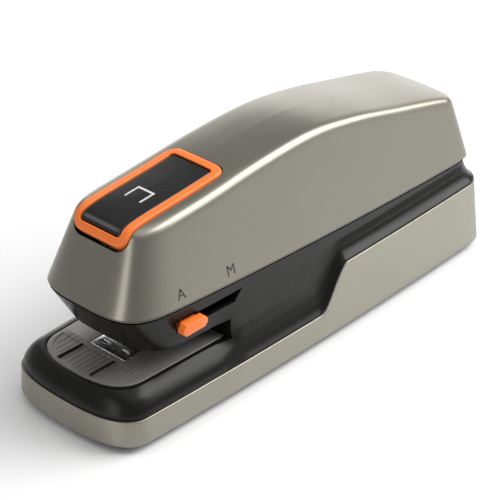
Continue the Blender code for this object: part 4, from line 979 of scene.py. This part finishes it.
def makeLetter(name, letter, y, z, size):
    curve = bpy.data.curves.new(name, "FONT")
    curve.body = letter
    curve.size = size
    curve.align_x = "CENTER"
    curve.resolution_u = 6
    holder = bpy.data.objects.new(name, curve)
    bpy.context.scene.collection.objects.link(holder)
    bpy.context.view_layer.update()
    graph = bpy.context.evaluated_depsgraph_get()
    mesh = bpy.data.meshes.new_from_object(holder.evaluated_get(graph))
    bpy.data.objects.remove(holder)
    bm = bmesh.new()
    bm.from_mesh(mesh)
    bmesh.ops.remove_doubles(bm, verts=bm.verts, dist=1e-6)
    for vert in bm.verts:
        along, rise = vert.co.x, vert.co.y * 0.96
        at = y + along
        height = z + rise - cover["fall"] * along
        vert.co = (sideX(at, height) + 0.00004, at, height)
    bmesh.ops.solidify(bm, geom=bm.faces[:], thickness=0.00006)
    bmesh.ops.recalc_face_normals(bm, faces=bm.faces)
    piece = dress(meshObject(name, bm), finishes["black"])
    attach(piece, "housing")


def makeStapleSign(tree):  # an open staple drawn on the button's top, as raised print
    size = {"half": 0.0041, "leg": 0.0052, "bar": 0.00085, "middle": 0.0050, "print": 0.00006}
    bars = [
        ((-size["half"], 0), (size["half"], size["bar"])),
        ((-size["half"], -size["leg"]), (-size["half"] + size["bar"], 0)),
        ((size["half"] - size["bar"], -size["leg"]), (size["half"], 0)),
    ]
    bm = bmesh.new()
    for (x0, v0), (x1, v1) in bars:
        boxMesh(bm, (x0, v0, 0), (x1, v1, size["print"]))
    bmesh.ops.subdivide_edges(bm, edges=bm.edges[:], cuts=5, use_grid_fill=True)
    for vert in bm.verts:
        height = button["capProud"] - 0.00001 + vert.co.z
        vert.co = overCover(tree, vert.co.x, size["middle"] + vert.co.y, height)
    piece = dress(meshObject("button_sign", bm), finishes["print"])
    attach(piece, "button")


finishes["print"] = finish("palePrint", (0.60, 0.59, 0.56), (0.68, 0.67, 0.64), (0.35, 0.45),
                           grain=2500.0, depth=0.04)


# mode slider, inlet, springs and staples

def makeModeKnob():
    low, high = 0.0365, 0.0411
    near = front + 0.0335 - 0.0007
    far = near + 0.0124
    proud, chamfer = 0.003, 0.0015
    bm = bmesh.new()
    boxMesh(bm, (waist, near, low), (waist + proud, far, high))
    across = [edge for edge in bm.edges if abs(edge.verts[0].co.x - edge.verts[1].co.x) > 0.001]
    bmesh.ops.bevel(bm, geom=across, offset=chamfer, segments=1, profile=0.5, affect="EDGES", material=-1)
    outer = [edge for edge in bm.edges if all(vert.co.x > waist + proud - 1e-5 for vert in edge.verts)]
    bmesh.ops.bevel(bm, geom=outer, offset=0.00075, segments=2, profile=0.6, affect="EDGES", material=-1)
    middle, inner = (near + far) / 2, waist - wall - 0.0023
    boxMesh(bm, (inner - 0.0005, middle - 0.0035, 0.0372), (waist + 0.001, middle + 0.0035, 0.0404))
    boxMesh(bm, (inner - 0.0014, middle - 0.005, 0.0352), (inner, middle + 0.005, 0.0424))
    piece = meshObject("mode_knob", bm, 25)
    return standFor(dress(piece, finishes["orange"]), "mode_slider")


def makeInlet():
    x, z = -0.014, 0.017
    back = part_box("power_jack")[1].y
    bm = bmesh.new()
    disc(bm, (x, back - 0.0095, z), (x, back - 0.0018, z), 0.0008, 24)
    disc(bm, (x, back - 0.0018, z), (x, back - 0.0012, z), 0.0008, 24, 0.0004)
    pin = dress(meshObject("inlet_pin", bm), finishes["steel"])
    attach(pin, "housing")
    bm = bmesh.new()
    disc(bm, (x, back - 0.0090, z), (x, back - 0.0006, z), 0.0034, 64)
    sleeve = meshObject("inlet_sleeve", bm)
    cut(sleeve, rod("sleeve_hole", (x, back - 0.012, z), (x, back + 0.002, z), 0.0031, 64))
    dress(sleeve, finishes["steel"])
    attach(sleeve, "housing")


def coilSpring(name, node, start, end, radius, wire, turns):
    start, end = Vector(start), Vector(end)
    axis = end - start
    turn = axis.to_track_quat("Z", "Y")
    curve = bpy.data.curves.new(name, "CURVE")
    curve.dimensions = "3D"
    curve.bevel_depth = wire
    curve.bevel_resolution = 3
    curve.use_fill_caps = True
    perTurn = 22
    count = int(turns * perTurn)
    spline = curve.splines.new("POLY")
    spline.points.add(count)
    for i in range(count + 1):
        t = i / count
        eased = t - 0.055 * sin(2 * pi * t)  # the end coils lie closer
        angle = 2 * pi * i / perTurn
        height = wire + (axis.length - 2 * wire) * eased
        place = start + turn @ Vector((radius * cos(angle), radius * sin(angle), height))
        spline.points[i].co = (*place, 1)
    holder = bpy.data.objects.new(name, curve)
    bpy.context.scene.collection.objects.link(holder)
    bpy.context.view_layer.update()
    mesh = bpy.data.meshes.new_from_object(holder.evaluated_get(bpy.context.evaluated_depsgraph_get()))
    bpy.data.objects.remove(holder)
    mesh.shade_smooth()
    piece = bpy.data.objects.new(name, mesh)
    bpy.context.scene.collection.objects.link(piece)
    dress(piece, finishes["steel"])
    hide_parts(node)
    return piece


def makeSprings():
    low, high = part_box("button_spring")
    middle = (low + high) / 2
    foot, head = (middle.x, middle.y, low.z), (middle.x, middle.y, high.z)
    spring = coilSpring("button_coil", "button_spring", foot, head, (high.x - low.x) / 2 - 0.0003, 0.0003, 8)
    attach(spring, "housing")
    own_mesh(spring)
    low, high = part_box("head_spring")
    middle = (low + high) / 2
    foot, head = (middle.x, middle.y, low.z), (middle.x, middle.y, high.z)
    spring = coilSpring("head_coil", "head_spring", foot, head, (high.x - low.x) / 2 - 0.00035, 0.00035, 9)
    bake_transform(spring)
    low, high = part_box("pusher_spring")
    middle = (low + high) / 2
    near, far = (middle.x, low.y, middle.z), (middle.x, high.y, middle.z)
    spring = coilSpring("pusher_coil", "pusher_spring", near, far, (high.x - low.x) / 2 - 0.0002, 0.0002, 22)
    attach(spring, frame["nodes"]["pusher_spring"]["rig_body"])
    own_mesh(spring)


def makeStaples():  # one bent wire, repeated along the strip
    low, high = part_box("staple_strip")
    wire, pitch = 0.00026, 0.0006
    half, top, legEnd, bend = high.x - wire, high.z - wire, low.z, 0.0007
    path = [(-half, legEnd), (-half, top - bend)]
    turns = [pi / 2 * i / 4 for i in range(1, 5)]
    path += [(-half + bend * (1 - cos(turn)), top - bend * (1 - sin(turn))) for turn in turns]
    path += [(-x, z) for x, z in reversed(path)]
    rows = []
    for corner in (0, 1, 2, 3, 0):
        out, along = ((1, -1), (1, 1), (-1, 1), (-1, -1))[corner]
        row = []
        for i, (x, z) in enumerate(path):
            a, b = Vector(path[max(i - 1, 0)]), Vector(path[min(i + 1, len(path) - 1)])
            normal = Vector((-(b - a).y, (b - a).x)).normalized()
            row.append(Vector((x + normal.x * out * wire, along * wire, z + normal.y * out * wire)))
        rows.append(row)
    one = gridForm("one_staple", rows, closeAcross=True)
    bm = bmesh.new()
    bm.from_mesh(one.data)
    bmesh.ops.holes_fill(bm, edges=[edge for edge in bm.edges if edge.is_boundary], sides=0)
    single = bm.copy()
    bm.free()
    strip = bmesh.new()
    count = int((high.y - low.y) / pitch)
    kept = bpy.data.meshes.new("staple")
    single.to_mesh(kept)
    single.free()
    for i in range(count):
        before = len(strip.verts)
        strip.from_mesh(kept)
        strip.verts.ensure_lookup_table()
        bmesh.ops.translate(strip, vec=(0, low.y + pitch * (i + 0.5), 0), verts=strip.verts[before:])
    bmesh.ops.recalc_face_normals(strip, faces=strip.faces)
    bpy.data.objects.remove(one)
    standFor(dress(meshObject("staples", strip, 40), finishes["steel"]), "staple_strip")


# stage, light and camera

def makeStage():
    bm = bmesh.new()
    bmesh.ops.create_grid(bm, x_segments=2, y_segments=2, size=3.0)
    floor = meshObject("floor", bm)
    material = bpy.data.materials.new("glossWhite")
    material.use_nodes = True
    shader = material.node_tree.nodes["Principled BSDF"]
    shader.inputs["Base Color"].default_value = (0.88, 0.88, 0.88, 1)
    shader.inputs["Roughness"].default_value = 0.12
    shader.inputs["Specular IOR Level"].default_value = 0.45
    dress(floor, material)


def softbox(name, place, aim, size, strength):
    light = bpy.data.lights.new(name, "AREA")
    light.shape = "RECTANGLE"
    light.size, light.size_y = size
    light.energy = strength * pi * size[0] * size[1]
    holder = bpy.data.objects.new(name, light)
    bpy.context.scene.collection.objects.link(holder)
    place = Vector(place)
    holder.location = place
    holder.rotation_euler = (Vector(aim) - place).to_track_quat("-Z", "Y").to_euler()


def makeLight():
    softbox("overhead", (0.25, 0.05, 1.3), (0, 0, 0), (1.4, 1.6), 0.80)
    softbox("edgeRight", (0.54, 0.75, 0.76), (0, 0, 0.05), (0.95, 1.1), 5.6)
    softbox("tailLeft", (-0.75, 0.95, 0.28), (0, 0, 0.05), (1.3, 0.6), 1.6)
    softbox("frontStrip", (0.14, -1.2, 0.38), (0, 0, 0.05), (0.42, 0.8), 2.2)
    softbox("frontLeft", (-0.75, -0.65, 0.80), (0, 0, 0.03), (0.5, 0.5), 2.2)
    world = bpy.data.worlds.new("studio")
    bpy.context.scene.world = world
    world.use_nodes = True
    background = world.node_tree.nodes["Background"]
    background.inputs["Color"].default_value = (1, 1, 1, 1)
    background.inputs["Strength"].default_value = 0.32


def makeCamera():
    data = bpy.data.cameras.new("camera")
    data.lens = 150.916
    data.sensor_width = 36.0
    data.clip_start, data.clip_end = 0.02, 20
    camera = bpy.data.objects.new("camera", data)
    bpy.context.scene.collection.objects.link(camera)
    camera.location = (0.4598, -0.5036, 0.4437)
    side, down = radians(42.7435), radians(31.3399)
    aim = Vector((-sin(side) * cos(down), cos(side) * cos(down), -sin(down)))
    camera.rotation_euler = aim.to_track_quat("-Z", "Y").to_euler()
    bpy.context.scene.camera = camera
    bpy.context.scene.view_settings.view_transform = "Standard"


makeCamera()
makeStage()
makeLight()
print("stage, light and camera set")
makeBand()
makeUnderside()
print("base made")
makeBody()
makeDrawerNose()
print("body made")
makeDeck()
makeAnvil()
print("deck and anvil made")
coverTree = makeCover()
makeBead()
makeButton(coverTree)
print("cover and button made")
makeLetter("mark_auto", "A", -0.0685, 0.0497, 0.0058)
makeLetter("mark_manual", "M", -0.0440, 0.0487, 0.0058)
makeStapleSign(coverTree)
makeModeKnob()
makeInlet()
makeSprings()
makeStaples()
for name, node in frame["nodes"].items():
    for slot in node.material_slots:
        slot.material = finishes[slotOfNode[name]]
print("small pieces and finishes done")
